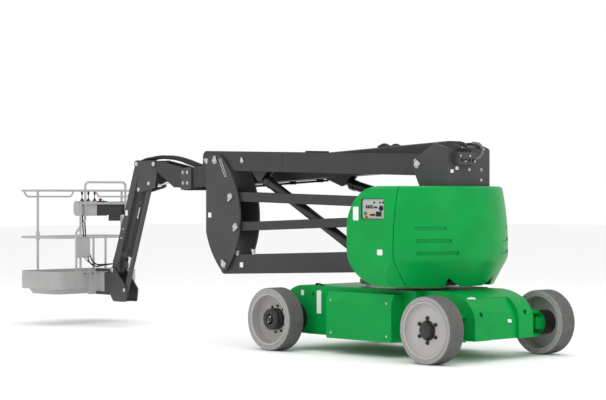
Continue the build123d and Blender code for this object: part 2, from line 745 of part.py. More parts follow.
with BuildPart() as tail:
    add(COVER)
    with Locations((HOOD_SEAM_X - 500, 0, 1000)):
        Box(1000, 3000, 3000, mode=Mode.SUBTRACT)
    with BuildSketch(Plane.XY.offset(COVER_BOTTOM - 10)):
        with Locations(((TAIL_FACE_X + HOOD_SEAM_X - 20) / 2, 0)):
            Rectangle(TAIL_FACE_X - HOOD_SEAM_X + 20, 2 * BAY_HALF_W)
    extrude(amount=COVER_TOP + 200, mode=Mode.SUBTRACT)
    with BuildSketch(Plane.XY.offset(COVER_BOTTOM - 10)):
        with Locations((BASE_BACK_X / 2, 0)):
            Rectangle(BASE_BACK_X + 2 * SEAM_GAP, 2 * (BAY_HALF_W + BASE_STEP + SEAM_GAP))
    extrude(amount=BASE_TOP + 10 + SEAT_GAP - COVER_BOTTOM, mode=Mode.SUBTRACT)
    for hand in (1, -1):
        for z, first, last in GROOVES:
            turn = radians(hand * -(first if hand < 0 else last))
            start = Plane(origin=(0, 0, z), x_dir=(cos(turn), sin(turn), 0), z_dir=(sin(turn), -cos(turn), 0))
            with BuildSketch(start):
                with BuildLine():
                    Polyline(
                        (TAIL_R - GROOVE_DEPTH, GROOVE_H / 2),
                        (TAIL_R + 5, GROOVE_H / 2),
                        (TAIL_R + 5, -GROOVE_H / 2),
                        (TAIL_R, -GROOVE_H / 2),
                        (TAIL_R - GROOVE_DEPTH, 4 - GROOVE_H / 2),
                        close=True,
                    )
                make_face()
            revolve(axis=Axis.Z, revolution_arc=last - first, mode=Mode.SUBTRACT)
save(tail, "tail_counterweight")

for label, hand in (("hood_left", 1), ("hood_right", -1)):
    with BuildPart() as hood:
        add(COVER)
        add(COVER_INSIDE, mode=Mode.SUBTRACT)
        with Locations((HOOD_SEAM_X - SEAM_GAP + 600, 0, 1000)):
            Box(1200, 3000, 3000, mode=Mode.SUBTRACT)
        with Locations((0, hand * (BAY_HALF_W + HOOD_EDGE - 1500), 1000)):
            Box(3000, 3000, 3000, mode=Mode.SUBTRACT)
        with BuildSketch(Plane.XY.offset(COVER_BOTTOM - 1)):
            Circle(SLEW_R + BASE_RIM + SEAM_GAP)
            with Locations((BASE_BACK_X / 2, 0)):
                Rectangle(BASE_BACK_X + 2 * SEAM_GAP, 2 * (BAY_HALF_W + BASE_STEP + SEAM_GAP))
        extrude(amount=BASE_TOP - COVER_BOTTOM + 1 + SEAM_GAP, mode=Mode.SUBTRACT)
        for x in HINGE_X:
            with BuildSketch(Plane.YZ.offset(x)):
                with Locations((hand * HINGE_Y, HINGE_Z)):
                    Circle(HINGE_R + HINGE_WALL)
                with Locations((hand * (HINGE_Y + 16), HINGE_Z)):
                    Rectangle(32, 2 * HINGE_WALL)
            extrude(amount=HINGE_W)
            with BuildSketch(Plane.YZ.offset(x)):
                with Locations((hand * HINGE_Y, HINGE_Z)):
                    Circle(HINGE_R + PIN_FIT)
            extrude(amount=HINGE_W, mode=Mode.SUBTRACT)
        if hand < 0:
            with BuildSketch(side(-COVER_HALF_W + 40)):
                with Locations(((CONTROL_X0 + CONTROL_X1) / 2, (CONTROL_Z0 + CONTROL_Z1) / 2)):
                    RectangleRounded(CONTROL_X1 - CONTROL_X0 + 10, CONTROL_Z1 - CONTROL_Z0 + 10, 24)
            extrude(amount=80, mode=Mode.SUBTRACT)
    save(hood, label)

# equipment under the hoods, its foot drawn in so that the hoods' lower lips swing past
for label, hand in (("hydraulic_power_unit", -1), ("charger_cabinet", 1)):
    with BuildPart() as equipment:
        with BuildSketch(Plane.YZ.offset(POWER_X0)):
            with BuildLine():
                Polyline(
                    (hand * (BAY_HALF_W + 20), BASE_TOP),
                    (hand * POWER_FOOT_OUT, BASE_TOP),
                    (hand * POWER_OUT, BASE_TOP + POWER_BELLY_H),
                    (hand * POWER_OUT, BASE_TOP + POWER_H),
                    (hand * (BAY_HALF_W + 20), BASE_TOP + POWER_H),
                    close=True,
                )
            make_face()
        extrude(amount=POWER_X1 - POWER_X0)
    save(equipment, label)

with BuildPart() as control:
    with BuildSketch(side(-CONTROL_OUT + CONTROL_D)):
        with Locations(((CONTROL_X0 + CONTROL_X1) / 2, (CONTROL_Z0 + CONTROL_Z1) / 2)):
            RectangleRounded(CONTROL_X1 - CONTROL_X0, CONTROL_Z1 - CONTROL_Z0, 20)
    extrude(amount=CONTROL_D)
    with BuildSketch(Plane.XY.offset(CONTROL_Z0 + 20)):
        with Locations(((CONTROL_X0 + CONTROL_X1) / 2, -(CONTROL_OUT - CONTROL_D + BAY_HALF_W + BULKHEAD) / 2)):
            Rectangle(CONTROL_X1 - CONTROL_X0 - 40, CONTROL_OUT - CONTROL_D - BAY_HALF_W - BULKHEAD)
    extrude(amount=8)
save(control, "ground_control_box")


# --------------------------------------------------------------- riser linkage


def arm(start, end, height, front_over, back_over):
    """Box arm between two pins, running over each pin by a set length."""
    length = span(start, end)
    with BuildSketch(run(start, end, ARM_Y0)) as outline:
        with Locations(((length + back_over - front_over) / 2, 0)):
            RectangleRounded(length + back_over + front_over, height, height * 0.3)
    extrude(outline.sketch, amount=ARM_Y1 - ARM_Y0)


with BuildPart() as lower_arm:
    arm(LOWER_ARM_PIN, KNUCKLE_LOW, ARM_H, 95, 80)
    with BuildSketch(side(RISER_Y + 62)):
        with BuildLine():
            Polyline(
                (LIFT_BASE_PIN[0] + 62, LIFT_BASE_PIN[1] + 120),
                (LIFT_BASE_PIN[0] + 62, LIFT_BASE_PIN[1] - 62),
                (LIFT_BASE_PIN[0] - 10, LIFT_BASE_PIN[1] - 62),
                (LIFT_BASE_PIN[0] - 625, LIFT_BASE_PIN[1] + 106),
                (LIFT_BASE_PIN[0] - 625, LIFT_BASE_PIN[1] + 120),
                close=True,
            )
        make_face()
    extrude(amount=124, mode=Mode.SUBTRACT)
    pin(LIFT_BASE_PIN, 24, ARM_Y0 - 6, ARM_Y1 + 6)
    for centre in (LOWER_ARM_PIN, KNUCKLE_LOW):
        pin(centre, PIN_R + PIN_FIT, ARM_Y0, ARM_Y1, Mode.SUBTRACT)
save(lower_arm, "lower_arm")

with BuildPart() as upper_arm:
    arm(HEAD_ARM_PIN, KNUCKLE_TOP, ARM_H + 3, 92, 222)
    for y0 in (RISER_Y - 52, RISER_Y + 34):
        plate(
            y0,
            y0 + 18,
            (
                (LIFT_TOP_PIN[0], LIFT_TOP_PIN[1], 44),
                (LIFT_TOP_PIN[0] - 120, LIFT_TOP_PIN[1] + 90, 20),
                (LIFT_TOP_PIN[0] + 120, LIFT_TOP_PIN[1] + 90, 20),
            ),
        )
    for centre in (HEAD_ARM_PIN, KNUCKLE_TOP):
        pin(centre, PIN_R + PIN_FIT, ARM_Y0, ARM_Y1, Mode.SUBTRACT)
save(upper_arm, "upper_arm")

for label, start, end, height in (
    ("lower_tie", LOWER_TIE_PIN, KNUCKLE_LOW_TIE, LOWER_TIE_H),
    ("upper_tie", HEAD_TIE_PIN, KNUCKLE_UP_TIE, UPPER_TIE_H),
):
    with BuildPart() as tie:
        length = span(start, end)
        for y0 in (ARM_Y0, ARM_Y1 - TIE_BAR):
            with BuildSketch(run(start, end, y0)):
                with Locations((length / 2, 0)):
                    SlotCenterToCenter(length, height)
            extrude(amount=TIE_BAR)
        for centre in (start, end):
            pin(centre, PIN_R + 13, ARM_Y0, ARM_Y1)
        for centre in (start, end):
            pin(centre, PIN_R + PIN_FIT, ARM_Y0, ARM_Y1, Mode.SUBTRACT)
    save(tie, label)

# knuckle: two lens-shaped plates, a cross web and four pins
with BuildPart() as knuckle:
    for y0 in (BAY_Y0, BAY_Y1 - PLATE):
        with BuildSketch(side(y0 + PLATE)):
            with BuildLine():
                left = KNUCKLE_TOP[0] - 136
                Polyline(
                    (KNUCKLE_TOP[0] + 70, KNUCKLE_TOP[1] + 60),
                    (left + 60, KNUCKLE_TOP[1] + 60),
                    (left, KNUCKLE_TOP[1]),
                    (left, KNUCKLE_LOW[1] + 330),
                )
                ThreePointArc(
                    (left, KNUCKLE_LOW[1] + 330),
                    (left + 108, KNUCKLE_LOW[1] + 92),
                    (KNUCKLE_LOW[0] - 60, KNUCKLE_LOW[1] - 40),
                )
                ThreePointArc(
                    (KNUCKLE_LOW[0] - 60, KNUCKLE_LOW[1] - 40),
                    (KNUCKLE_LOW[0], KNUCKLE_LOW[1] - 66),
                    (KNUCKLE_LOW[0] + 62, KNUCKLE_LOW[1] - 30),
                )
                ThreePointArc(
                    (KNUCKLE_LOW[0] + 62, KNUCKLE_LOW[1] - 30),
                    (KNUCKLE_LOW_TIE[0] + 68, KNUCKLE_LOW_TIE[1] + 60),
                    (KNUCKLE_TOP[0] + 70, KNUCKLE_TOP[1] + 60),
                )
            make_face()
        extrude(amount=PLATE)
    for centre in (KNUCKLE_LOW, KNUCKLE_LOW_TIE, KNUCKLE_UP_TIE, KNUCKLE_TOP):
        pin(centre, PIN_R, BAY_Y0 - PIN_PROUD, BAY_Y1 + 4)
    with BuildSketch(side(BAY_Y1)):
        with Locations((KNUCKLE_TOP[0] - 60, (KNUCKLE_LOW[1] + KNUCKLE_TOP[1]) / 2)):
            Rectangle(16, 520)
    extrude(amount=BAY_Y1 - BAY_Y0)
save(knuckle, "knuckle_plates")

# lift cylinder between the lower arm and the upper arm
LIFT_LENGTH = span(LIFT_BASE_PIN, LIFT_TOP_PIN)
save(
    barrel(LIFT_BASE_PIN, LIFT_TOP_PIN, RISER_Y, 50, 32, LIFT_LENGTH - 90, 50, 110, 70, 24),
    "lift_cylinder_barrel",
)
save(rod(LIFT_BASE_PIN, LIFT_TOP_PIN, RISER_Y, 32, 75, 40, 56), "lift_cylinder_rod")

# ------------------------------------------------------------------- rear head
with BuildPart() as head:
    near_rounds = (
        (HEAD_ARM_PIN[0] + 6, HEAD_ARM_PIN[1] - 6, 66),
        (BOOM_PIN[0] - 40, HEAD_TOP - 40, 40),
        (HEAD_BACK_X - 34, HEAD_TOP - 70, 34),
        (HEAD_BACK_X - 34, HEAD_TIE_PIN[1] - 40, 34),
        (HEAD_TIE_PIN[0] - 20, HEAD_TIE_PIN[1], 90),
    )
    for y0 in (BAY_Y0, BAY_Y1 - PLATE):
        plate(y0, y0 + PLATE, near_rounds)
    plate(
        HEAD_HALF_W - PLATE,
        HEAD_HALF_W,
        (
            (BOOM_PIN[0] - 60, BOOM_PIN[1], 74),
            (HEAD_BACK_X - 34, HEAD_TOP - 70, 34),
            (HEAD_BACK_X - 34, HEAD_TIE_PIN[1] - 90, 34),
            (BOOM_BASE_PIN[0] + 100, BOOM_BASE_PIN[1], 60),
        ),
    )
    with BuildSketch(side(HEAD_HALF_W)):
        with Locations((HEAD_BACK_X - 8, (HEAD_BACK_TOP + HEAD_TIE_PIN[1] - 60) / 2)):
            Rectangle(16, HEAD_BACK_TOP - HEAD_TIE_PIN[1] + 60)
    extrude(amount=2 * HEAD_HALF_W)
    for y0 in (BOOM_Y - 70, BOOM_Y + 50):
        plate(
            y0,
            y0 + 20,
            (
                (BOOM_BASE_PIN[0], BOOM_BASE_PIN[1], 50),
                (HEAD_BACK_X - 30, BOOM_BASE_PIN[1] + 240, 22),
                (HEAD_BACK_X - 30, BOOM_BASE_PIN[1] + 80, 22),
            ),
        )
    for centre in (HEAD_ARM_PIN, HEAD_TIE_PIN):
        pin(centre, PIN_R, BAY_Y0 - PIN_PROUD, BAY_Y1 + 4)
    pin(BOOM_PIN, PIN_R, BAY_Y1 - PLATE, HEAD_HALF_W + PIN_PROUD)
    pin(BOOM_BASE_PIN, 22, BOOM_Y - 80, BOOM_Y + 80)
save(head, "rear_head")

with BuildPart() as head_box:
    with BuildSketch(Plane.YZ.offset(HEAD_BACK_X)):
        with Locations((VALVE_Y, VALVE_Z)):
            Rectangle(VALVE_W, VALVE_H)
    extrude(amount=VALVE_D)
save(head_box, "head_valve_box")

# ------------------------------------------------------------------- main boom
BOOM_START = (
    BOOM_PIN[0] + BOOM_AXIS_DROP * BOOM_DIR[1],
    BOOM_PIN[1] - BOOM_AXIS_DROP,
)


def boom_section(distance):
    """Plane across the boom at a distance along it from the pivot."""
    return Plane(
        origin=(BOOM_START[0] + distance * BOOM_DIR[0], BOOM_Y, BOOM_START[1] + distance * BOOM_DIR[1]),
        x_dir=(0, 1, 0),
        z_dir=(BOOM_DIR[0], 0, BOOM_DIR[1]),
    )


with BuildPart() as outer:
    with BuildSketch(boom_section(OUTER_START)):
        RectangleRounded(OUTER_W, OUTER_H, 16)
    extrude(amount=OUTER_END - OUTER_START)
    with BuildSketch(boom_section(OUTER_END - MOUTH)):
        RectangleRounded(OUTER_W + 14, OUTER_H + 14, 20)
    extrude(amount=MOUTH)
    for y0 in (BOOM_Y - OUTER_W / 2 - 8, BOOM_Y + OUTER_W / 2 - 8):
        plate(
            y0,
            y0 + 16,
            (
                (BOOM_PIN[0], BOOM_PIN[1], 78),
                (BOOM_PIN[0] - 20, BOOM_PIN[1] - 96, 52),
                (BOOM_PIN[0] - 420, BOOM_PIN[1] + 14, 40),
                (BOOM_PIN[0] - 420, BOOM_PIN[1] - 110, 40),
            ),
        )
    pin(BOOM_PIN, PIN_R + 16, BAY_Y1 + 2, HEAD_HALF_W - PLATE - 2)
    pin(BOOM_PIN, PIN_R + PIN_FIT, BAY_Y1 + 2, HEAD_HALF_W - PLATE - 2, Mode.SUBTRACT)
    for y0 in (BOOM_Y - 52, BOOM_Y + 34):
        plate(
            y0,
            y0 + 18,
            (
                (BOOM_LUG_PIN[0], BOOM_LUG_PIN[1], 38),
                (BOOM_LUG_PIN[0] + 110, BOOM_LUG_PIN[1] + 72, 14),
                (BOOM_LUG_PIN[0] - 230, BOOM_LUG_PIN[1] + 54, 14),
            ),
        )
    with BuildSketch(boom_section(OUTER_START + 160)):
        RectangleRounded(OUTER_W - 2 * OUTER_WALL, OUTER_H - 2 * OUTER_WALL, 10)
    extrude(amount=OUTER_END - MOUTH - OUTER_START - 160, mode=Mode.SUBTRACT)
    with BuildSketch(boom_section(OUTER_END - MOUTH)):
        RectangleRounded(INNER_W + 2 * SEAT_GAP, INNER_H + 2 * SEAT_GAP, 14 + SEAT_GAP)
    extrude(amount=MOUTH, mode=Mode.SUBTRACT)
save(outer, "boom_outer")

with BuildPart() as inner:
    with BuildSketch(boom_section(INNER_START)):
        RectangleRounded(INNER_W, INNER_H, 14)
        RectangleRounded(INNER_W - 2 * INNER_WALL, INNER_H - 2 * INNER_WALL, 8, mode=Mode.SUBTRACT)
    extrude(amount=INNER_END - INNER_START)
    with BuildSketch(boom_section(INNER_START)):
        RectangleRounded(OUTER_W - 2 * OUTER_WALL - 2 * SEAT_GAP, OUTER_H - 2 * OUTER_WALL - 2 * SEAT_GAP, 10)
        RectangleRounded(INNER_W - 2 * INNER_WALL, INNER_H - 2 * INNER_WALL, 8, mode=Mode.SUBTRACT)
    extrude(amount=MOUTH)
    for y0 in (BOOM_Y - INNER_W / 2 - JIB_PLATE, BOOM_Y + INNER_W / 2):
        plate(
            y0,
            y0 + JIB_PLATE,
            (
                (NOSE_PIN[0], NOSE_PIN[1], 44),
                (NOSE_PIN[0] + 520, NOSE_PIN[1] - 74, 24),
                (NOSE_PIN[0] + 520, NOSE_PIN[1] - 236, 24),
                (NOSE_PIN[0] + 352, NOSE_PIN[1] - 234, 24),
            ),
        )
    pin(NOSE_PIN, JIB_PIN_R, BOOM_Y - INNER_W / 2 - 24, BOOM_Y + INNER_W / 2 + 24)
    pin(LEVEL_BASE_PIN, 14, BOOM_Y - INNER_W / 2 - 4, BOOM_Y + INNER_W / 2 + 4)
save(inner, "boom_inner")

BOOM_CYL = span(BOOM_BASE_PIN, BOOM_LUG_PIN)
save(
    barrel(BOOM_BASE_PIN, BOOM_LUG_PIN, BOOM_Y, 50, 30, BOOM_CYL - 90, 46, 84, 70, 22),
    "boom_cylinder_barrel",
)
save(rod(BOOM_BASE_PIN, BOOM_LUG_PIN, BOOM_Y, 30, 75, 36, 56), "boom_cylinder_rod")

# ------------------------------------------------------------------------- jib
with BuildPart() as jib_head:
    for y0 in (BOOM_Y - JIB_PLATE_OUT, BOOM_Y + JIB_PLATE_OUT - JIB_PLATE):
        plate(
            y0,
            y0 + JIB_PLATE,
            (
                (NOSE_PIN[0], NOSE_PIN[1], 42),
                (NOSE_PIN[0] - 226, NOSE_PIN[1] + 4, 36),
                (LEVEL_PIN[0], LEVEL_PIN[1], 36),
                (LINK_TOP_PIN[0], LINK_TOP_PIN[1] - 26, 36),
                (JIB_CYL_TOP_PIN[0], JIB_CYL_TOP_PIN[1], 34),
            ),
        )
        plate(
            y0,
            y0 + JIB_PLATE,
            (
                (JIB_TOP_PIN[0], JIB_TOP_PIN[1], 38),
                (NOSE_PIN[0] - 226, NOSE_PIN[1] + 2, 36),
                (NOSE_PIN[0] - 236, NOSE_PIN[1] - 70, 36),
            ),
        )
    near, far = BOOM_Y - JIB_PLATE_OUT - JIB_PIN_PROUD, BOOM_Y + JIB_PLATE_OUT + JIB_PIN_PROUD
    pin(JIB_TOP_PIN, JIB_PIN_R, near, far)
    pin(LINK_TOP_PIN, JIB_PIN_R, near, BOOM_Y + LINK_Y + LINK_T + 2)
    pin(JIB_CYL_TOP_PIN, JIB_PIN_R - 3, BOOM_Y + JIB_CYL_Y - 32, far)
    pin(NOSE_PIN, JIB_PIN_R + 16, BOOM_Y - JIB_PLATE_OUT, BOOM_Y + JIB_PLATE_OUT)
    pin(NOSE_PIN, JIB_PIN_R + PIN_FIT, BOOM_Y - JIB_PLATE_OUT, BOOM_Y + JIB_PLATE_OUT, Mode.SUBTRACT)
save(jib_head, "jib_head")

JIB_LENGTH = span(JIB_TOP_PIN, JIB_LOW_PIN)
with BuildPart() as jib_beam:
    with BuildSketch(run(JIB_TOP_PIN, JIB_LOW_PIN, BOOM_Y - JIB_BEAM_W / 2)):
        with Locations((JIB_LENGTH / 2, 0)):
            RectangleRounded(JIB_LENGTH + JIB_BEAM_H * 0.8, JIB_BEAM_H, JIB_BEAM_H * 0.34)
    extrude(amount=JIB_BEAM_W)
    for y0 in (BOOM_Y + JIB_CYL_Y - JIB_LUG_IN - 12, BOOM_Y + JIB_CYL_Y + JIB_LUG_IN):
        plate(
            y0,
            y0 + 12,
            (
                (JIB_CYL_LOW_PIN[0], JIB_CYL_LOW_PIN[1], 30),
                (JIB_CYL_LOW_PIN[0] - 92, JIB_CYL_LOW_PIN[1] + 100, 16),
                (JIB_CYL_LOW_PIN[0] - 140, JIB_CYL_LOW_PIN[1] - 40, 16),
            ),
        )
    for centre in (JIB_TOP_PIN, JIB_LOW_PIN):
        pin(centre, JIB_PIN_R + PIN_FIT, BOOM_Y - JIB_BEAM_W / 2, BOOM_Y + JIB_BEAM_W / 2, Mode.SUBTRACT)
save(jib_beam, "jib_beam")

with BuildPart() as jib_link:
    with BuildSketch(run(LINK_TOP_PIN, LINK_LOW_PIN, BOOM_Y + LINK_Y)):
        with Locations((JIB_LENGTH / 2, 0)):
            SlotCenterToCenter(JIB_LENGTH, LINK_H)
    extrude(amount=LINK_T)
    for centre in (LINK_TOP_PIN, LINK_LOW_PIN):
        pin(centre, JIB_PIN_R + PIN_FIT, BOOM_Y + LINK_Y, BOOM_Y + LINK_Y + LINK_T, Mode.SUBTRACT)
save(jib_link, "jib_link")

with BuildPart() as jib_foot:
    for y0 in (BOOM_Y - JIB_PLATE_OUT, BOOM_Y + JIB_PLATE_OUT - JIB_PLATE):
        plate(
            y0,
            y0 + JIB_PLATE,
            (
                (JIB_LOW_PIN[0], JIB_LOW_PIN[1], 38),
                (LINK_LOW_PIN[0], LINK_LOW_PIN[1], 34),
                (LINK_LOW_PIN[0] - 6, FOOT_BOTTOM + 24, 24),
                (LINK_LOW_PIN[0] - 196, FOOT_BOTTOM + 24, 24),
                (JIB_LOW_PIN[0] - 60, ROTATOR_Z0 + 34, 24),
            ),
        )
        plate(
            y0,
            y0 + JIB_PLATE,
            (
                (ROTATOR_X, ROTATOR_Z0 + 34, 24),
                (ROTATOR_X, ROTATOR_Z1 - 34, 24),
                (JIB_LOW_PIN[0], ROTATOR_Z1 - 34, 24),
                (JIB_LOW_PIN[0] - 60, ROTATOR_Z0 + 34, 24),
            ),
        )
    pin(JIB_LOW_PIN, JIB_PIN_R, BOOM_Y - JIB_PLATE_OUT - 8, BOOM_Y + JIB_PLATE_OUT + 8)
    pin(LINK_LOW_PIN, JIB_PIN_R, BOOM_Y - JIB_PLATE_OUT - 8, BOOM_Y + LINK_Y + LINK_T + 2)
    with BuildSketch(side(BOOM_Y + JIB_PLATE_OUT)):
        with Locations((LINK_LOW_PIN[0] - 100, FOOT_BOTTOM + 12)):
            Rectangle(190, 14)
    extrude(amount=2 * JIB_PLATE_OUT)
    with BuildSketch(Plane.XY.offset(ROTATOR_Z0 + 4)):
        with Locations((ROTATOR_X, BOOM_Y)):
            Circle(ROTATOR_R)
            Rectangle(48, 2 * JIB_PLATE_OUT)
            Circle(ROTATOR_R - 22, mode=Mode.SUBTRACT)
    extrude(amount=ROTATOR_Z1 - ROTATOR_Z0 - 8)
save(jib_foot, "jib_foot")

JIB_CYL = span(JIB_CYL_TOP_PIN, JIB_CYL_LOW_PIN)
save(
    barrel(
        JIB_CYL_TOP_PIN, JIB_CYL_LOW_PIN, BOOM_Y + JIB_CYL_Y, JIB_TUBE_R, 20, JIB_CYL - 110, 30, 60, 50, JIB_PIN_R - 3
    ),
    "jib_cylinder_barrel",
)
save(rod(JIB_CYL_TOP_PIN, JIB_CYL_LOW_PIN, BOOM_Y + JIB_CYL_Y, 20, 54, 26, 36), "jib_cylinder_rod")

LEVEL_CYL = span(LEVEL_BASE_PIN, LEVEL_PIN)
save(
    barrel(LEVEL_BASE_PIN, LEVEL_PIN, BOOM_Y, 30, 17, LEVEL_CYL - 310, 28, 60, 45, 14),
    "level_cylinder_barrel",
)
save(rod(LEVEL_BASE_PIN, LEVEL_PIN, BOOM_Y, 17, 325, 24, 50), "level_cylinder_rod")

# -------------------------------------------------------------------- platform
# rotator: vertical pin, two arms and the mounting panel of the platform
with BuildPart() as rotator:
    for z in (ROTATOR_Z0 - ROTATOR_ARM, ROTATOR_Z1):
        with BuildSketch(Plane.XY.offset(z)):
            with Locations((ROTATOR_X, BOOM_Y)):
                Circle(ROTATOR_R)
            with Locations(((ROTATOR_X + DECK_INBOARD_X) / 2, BOOM_Y)):
                Rectangle(ROTATOR_X - DECK_INBOARD_X, ROTATOR_R * 1.5)
        extrude(amount=ROTATOR_ARM)
    with BuildSketch(Plane.XY.offset(ROTATOR_Z0 - ROTATOR_ARM)):
        with Locations((ROTATOR_X, BOOM_Y)):
            Circle(ROTATOR_R - 22 - PIN_FIT)
    extrude(amount=ROTATOR_Z1 - ROTATOR_Z0 + 2 * ROTATOR_ARM)
    with BuildSketch(Plane.YZ.offset(DECK_INBOARD_X)):
        with Locations((BOOM_Y, (ROTATOR_Z0 + ROTATOR_Z1) / 2)):
            Rectangle(PANEL_W, ROTATOR_Z1 - ROTATOR_Z0 + 2 * ROTATOR_ARM)
    extrude(amount=PANEL_T)
save(rotator, "platform_rotator")

DECK_X = (DECK_INBOARD_X + DECK_OUTBOARD_X) / 2
DECK_D = DECK_INBOARD_X - DECK_OUTBOARD_X
with BuildPart() as deck:
    with BuildSketch(Plane.XY.offset(DECK_Z - DECK_T)):
        with Locations((DECK_X, BOOM_Y)):
            RectangleRounded(DECK_D, DECK_W, DECK_CORNER_R)
    extrude(amount=TOE_H + DECK_T)
    with BuildSketch(Plane.XY.offset(DECK_Z)):
        with Locations((DECK_X, BOOM_Y)):
            RectangleRounded(DECK_D - 2 * TOE_T, DECK_W - 2 * TOE_T, DECK_CORNER_R - TOE_T)
    extrude(amount=TOE_H, mode=Mode.SUBTRACT)
    with BuildSketch(Plane(origin=(DECK_X, BOOM_Y, DECK_Z - DECK_T), z_dir=(0, 0, -1))):
        RectangleRounded(DECK_D - 2 * PAN_INSET, DECK_W - 2 * PAN_INSET, DECK_CORNER_R - PAN_INSET / 2)
    extrude(amount=PAN_H, taper=35)
    tread_inset = TOE_T + 2 * POST_R + TREAD_GAP
    with BuildSketch(Plane.XY.offset(DECK_Z)):
        with Locations((DECK_X, BOOM_Y)):
            RectangleRounded(DECK_D - 2 * tread_inset, DECK_W - 2 * tread_inset, DECK_CORNER_R - tread_inset)
    extrude(amount=TREAD_T)
save(deck, "platform_deck")

# top rail all the way round, mid rail open at the entry corner, and their posts
with BuildPart() as rails:
    corners = ((RAIL_X0, RAIL_Y0), (RAIL_X0, RAIL_Y1), (RAIL_X1, RAIL_Y1), (RAIL_X1, RAIL_Y0))
    tube([(x, y, RAIL_TOP - RAIL_R) for x, y in corners], RAIL_R, RAIL_CORNER_R, closed=True)
    tube(
        [(ENTRY_X, RAIL_Y0, RAIL_MID)] + [(x, y, RAIL_MID) for x, y in corners[:3]] + [(RAIL_X1, HOOP_FOOT_Y, RAIL_MID)],
        RAIL_R,
        RAIL_CORNER_R,
    )
    for y in (RAIL_Y0, RAIL_Y1):
        with BuildSketch(Plane.XY.offset(DECK_Z)):
            with Locations((ENTRY_X, y)):
                Circle(POST_R)
        extrude(amount=RAIL_TOP - RAIL_R - DECK_Z)
    tube(
        (
            (RAIL_X1, HOOP_FOOT_Y, DECK_Z),
            (RAIL_X1, HOOP_FOOT_Y, HOOP_BEND_Z[1]),
            (RAIL_X1, HOOP_Y[0], HOOP_BEND_Z[0]),
            (RAIL_X1, HOOP_Y[0], HOOP_TOP - HOOP_R),
            (RAIL_X1, HOOP_Y[1], HOOP_TOP - HOOP_R),
            (RAIL_X1, HOOP_Y[1], DECK_Z),
        ),
        HOOP_R,
        48,
    )
    for i, y in enumerate(LOW_POST_Y):
        with BuildSketch(Plane.XY.offset(DECK_Z)):
            with Locations((RAIL_X1, y)):
                Circle(RAIL_R)
        extrude(amount=(RAIL_MID if i else CONSOLE_RAIL_Z) - DECK_Z)
    tube(((RAIL_X1, LOW_POST_Y[0], CONSOLE_RAIL_Z), (RAIL_X1, HOOP_Y[1], CONSOLE_RAIL_Z)), RAIL_R, 10)
    for x, (y0, y1) in ((RAIL_X0, HAND_OUTBOARD_Y), (RAIL_X1, HAND_INBOARD_Y)):
        tube(
            (
                (x, y0, RAIL_TOP - RAIL_R),
                (x, y0 + HAND_DROP * 0.7, RAIL_TOP - RAIL_R - HAND_DROP),
                (x, y1 - HAND_DROP * 0.7, RAIL_TOP - RAIL_R - HAND_DROP),
                (x, y1, RAIL_TOP - RAIL_R),
            ),
            RAIL_R - 2.5,
            30,
        )
    with Locations((RAIL_X1 + RAIL_R + 1, (HOOP_FOOT_Y + LOW_POST_Y[1]) / 2 - 30, (PLATE_Z0 + RAIL_MID - RAIL_R) / 2)):
        Box(6, LOW_POST_Y[1] - HOOP_FOOT_Y - 60, RAIL_MID - RAIL_R - PLATE_Z0)
save(rails, "platform_rails")

# sliding part of the mid rail, guided on its post by a clip open towards the fixed rail
with BuildPart() as entry_bar:
    tube(
        (
            (ENTRY_X + POST_R + 4, RAIL_Y0, RAIL_MID),
            (RAIL_X1, RAIL_Y0, RAIL_MID),
            (RAIL_X1, ENTRY_Y, RAIL_MID),
        ),
        RAIL_R,
        RAIL_CORNER_R,
    )
    with BuildSketch(Plane.XY.offset(RAIL_MID - 25)):
        with Locations((ENTRY_X, RAIL_Y0)):
            Circle(POST_R + SLEEVE_WALL)
    extrude(amount=SLEEVE_H)
    with BuildSketch(Plane.XY.offset(RAIL_MID - 25)):
        with Locations((ENTRY_X, RAIL_Y0)):
            Circle(POST_R + PIN_FIT)
        with Locations((ENTRY_X - POST_R - SLEEVE_WALL, RAIL_Y0)):
            Rectangle(2 * (POST_R + SLEEVE_WALL) - 12, 2 * RAIL_R + 6)
    extrude(amount=SLEEVE_H, mode=Mode.SUBTRACT)
save(entry_bar, "entry_bar")

CONSOLE_FACE_X = RAIL_X1 - HOOP_R - SEAT_GAP
with BuildPart() as console:
    with BuildSketch(side(CONSOLE_Y[1])):
        with BuildLine():
            Polyline(
                (CONSOLE_FACE_X, CONSOLE_Z[0]),
                (CONSOLE_FACE_X, CONSOLE_Z[1]),
                (CONSOLE_FACE_X - CONSOLE_D + 20, CONSOLE_Z[1]),
                (CONSOLE_FACE_X - CONSOLE_D, CONSOLE_Z[1] - 40),
                (CONSOLE_FACE_X - CONSOLE_D, CONSOLE_Z[0] + 30),
                (CONSOLE_FACE_X - CONSOLE_D + 40, CONSOLE_Z[0]),
                close=True,
            )
        make_face()
    extrude(amount=CONSOLE_Y[1] - CONSOLE_Y[0])
    with BuildSketch(side(MODULE_Y1)):
        with BuildLine():
            Polyline(
                (CONSOLE_FACE_X, CONSOLE_Z[0] + 8),
                (CONSOLE_FACE_X, CONSOLE_Z[1] - 8),
                (CONSOLE_FACE_X - CONSOLE_D + 20, CONSOLE_Z[1] - 8),
                (CONSOLE_FACE_X - CONSOLE_D + 6, CONSOLE_Z[1] - 44),
                (CONSOLE_FACE_X - CONSOLE_D + 6, CONSOLE_Z[0] + 34),
                (CONSOLE_FACE_X - CONSOLE_D + 44, CONSOLE_Z[0] + 8),
                close=True,
            )
        make_face()
    extrude(amount=MODULE_Y1 - CONSOLE_Y[1])
    with Locations((CONSOLE_FACE_X - 42, (CONSOLE_Y[1] + MODULE_Y1) / 2 + 10, CONSOLE_Z[0] - 26)):
        Box(70, 120, 70)
save(console, "platform_console")
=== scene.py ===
"""Dresses the articulating boom lift: a finish for every CAD piece, and the fastenings, hoses,
grips, tread and small fittings that the solids leave out. Metres, with X to the nose, Y to the
far side, Z up and the slew axis at the origin."""
from math import cos, pi, radians, sin

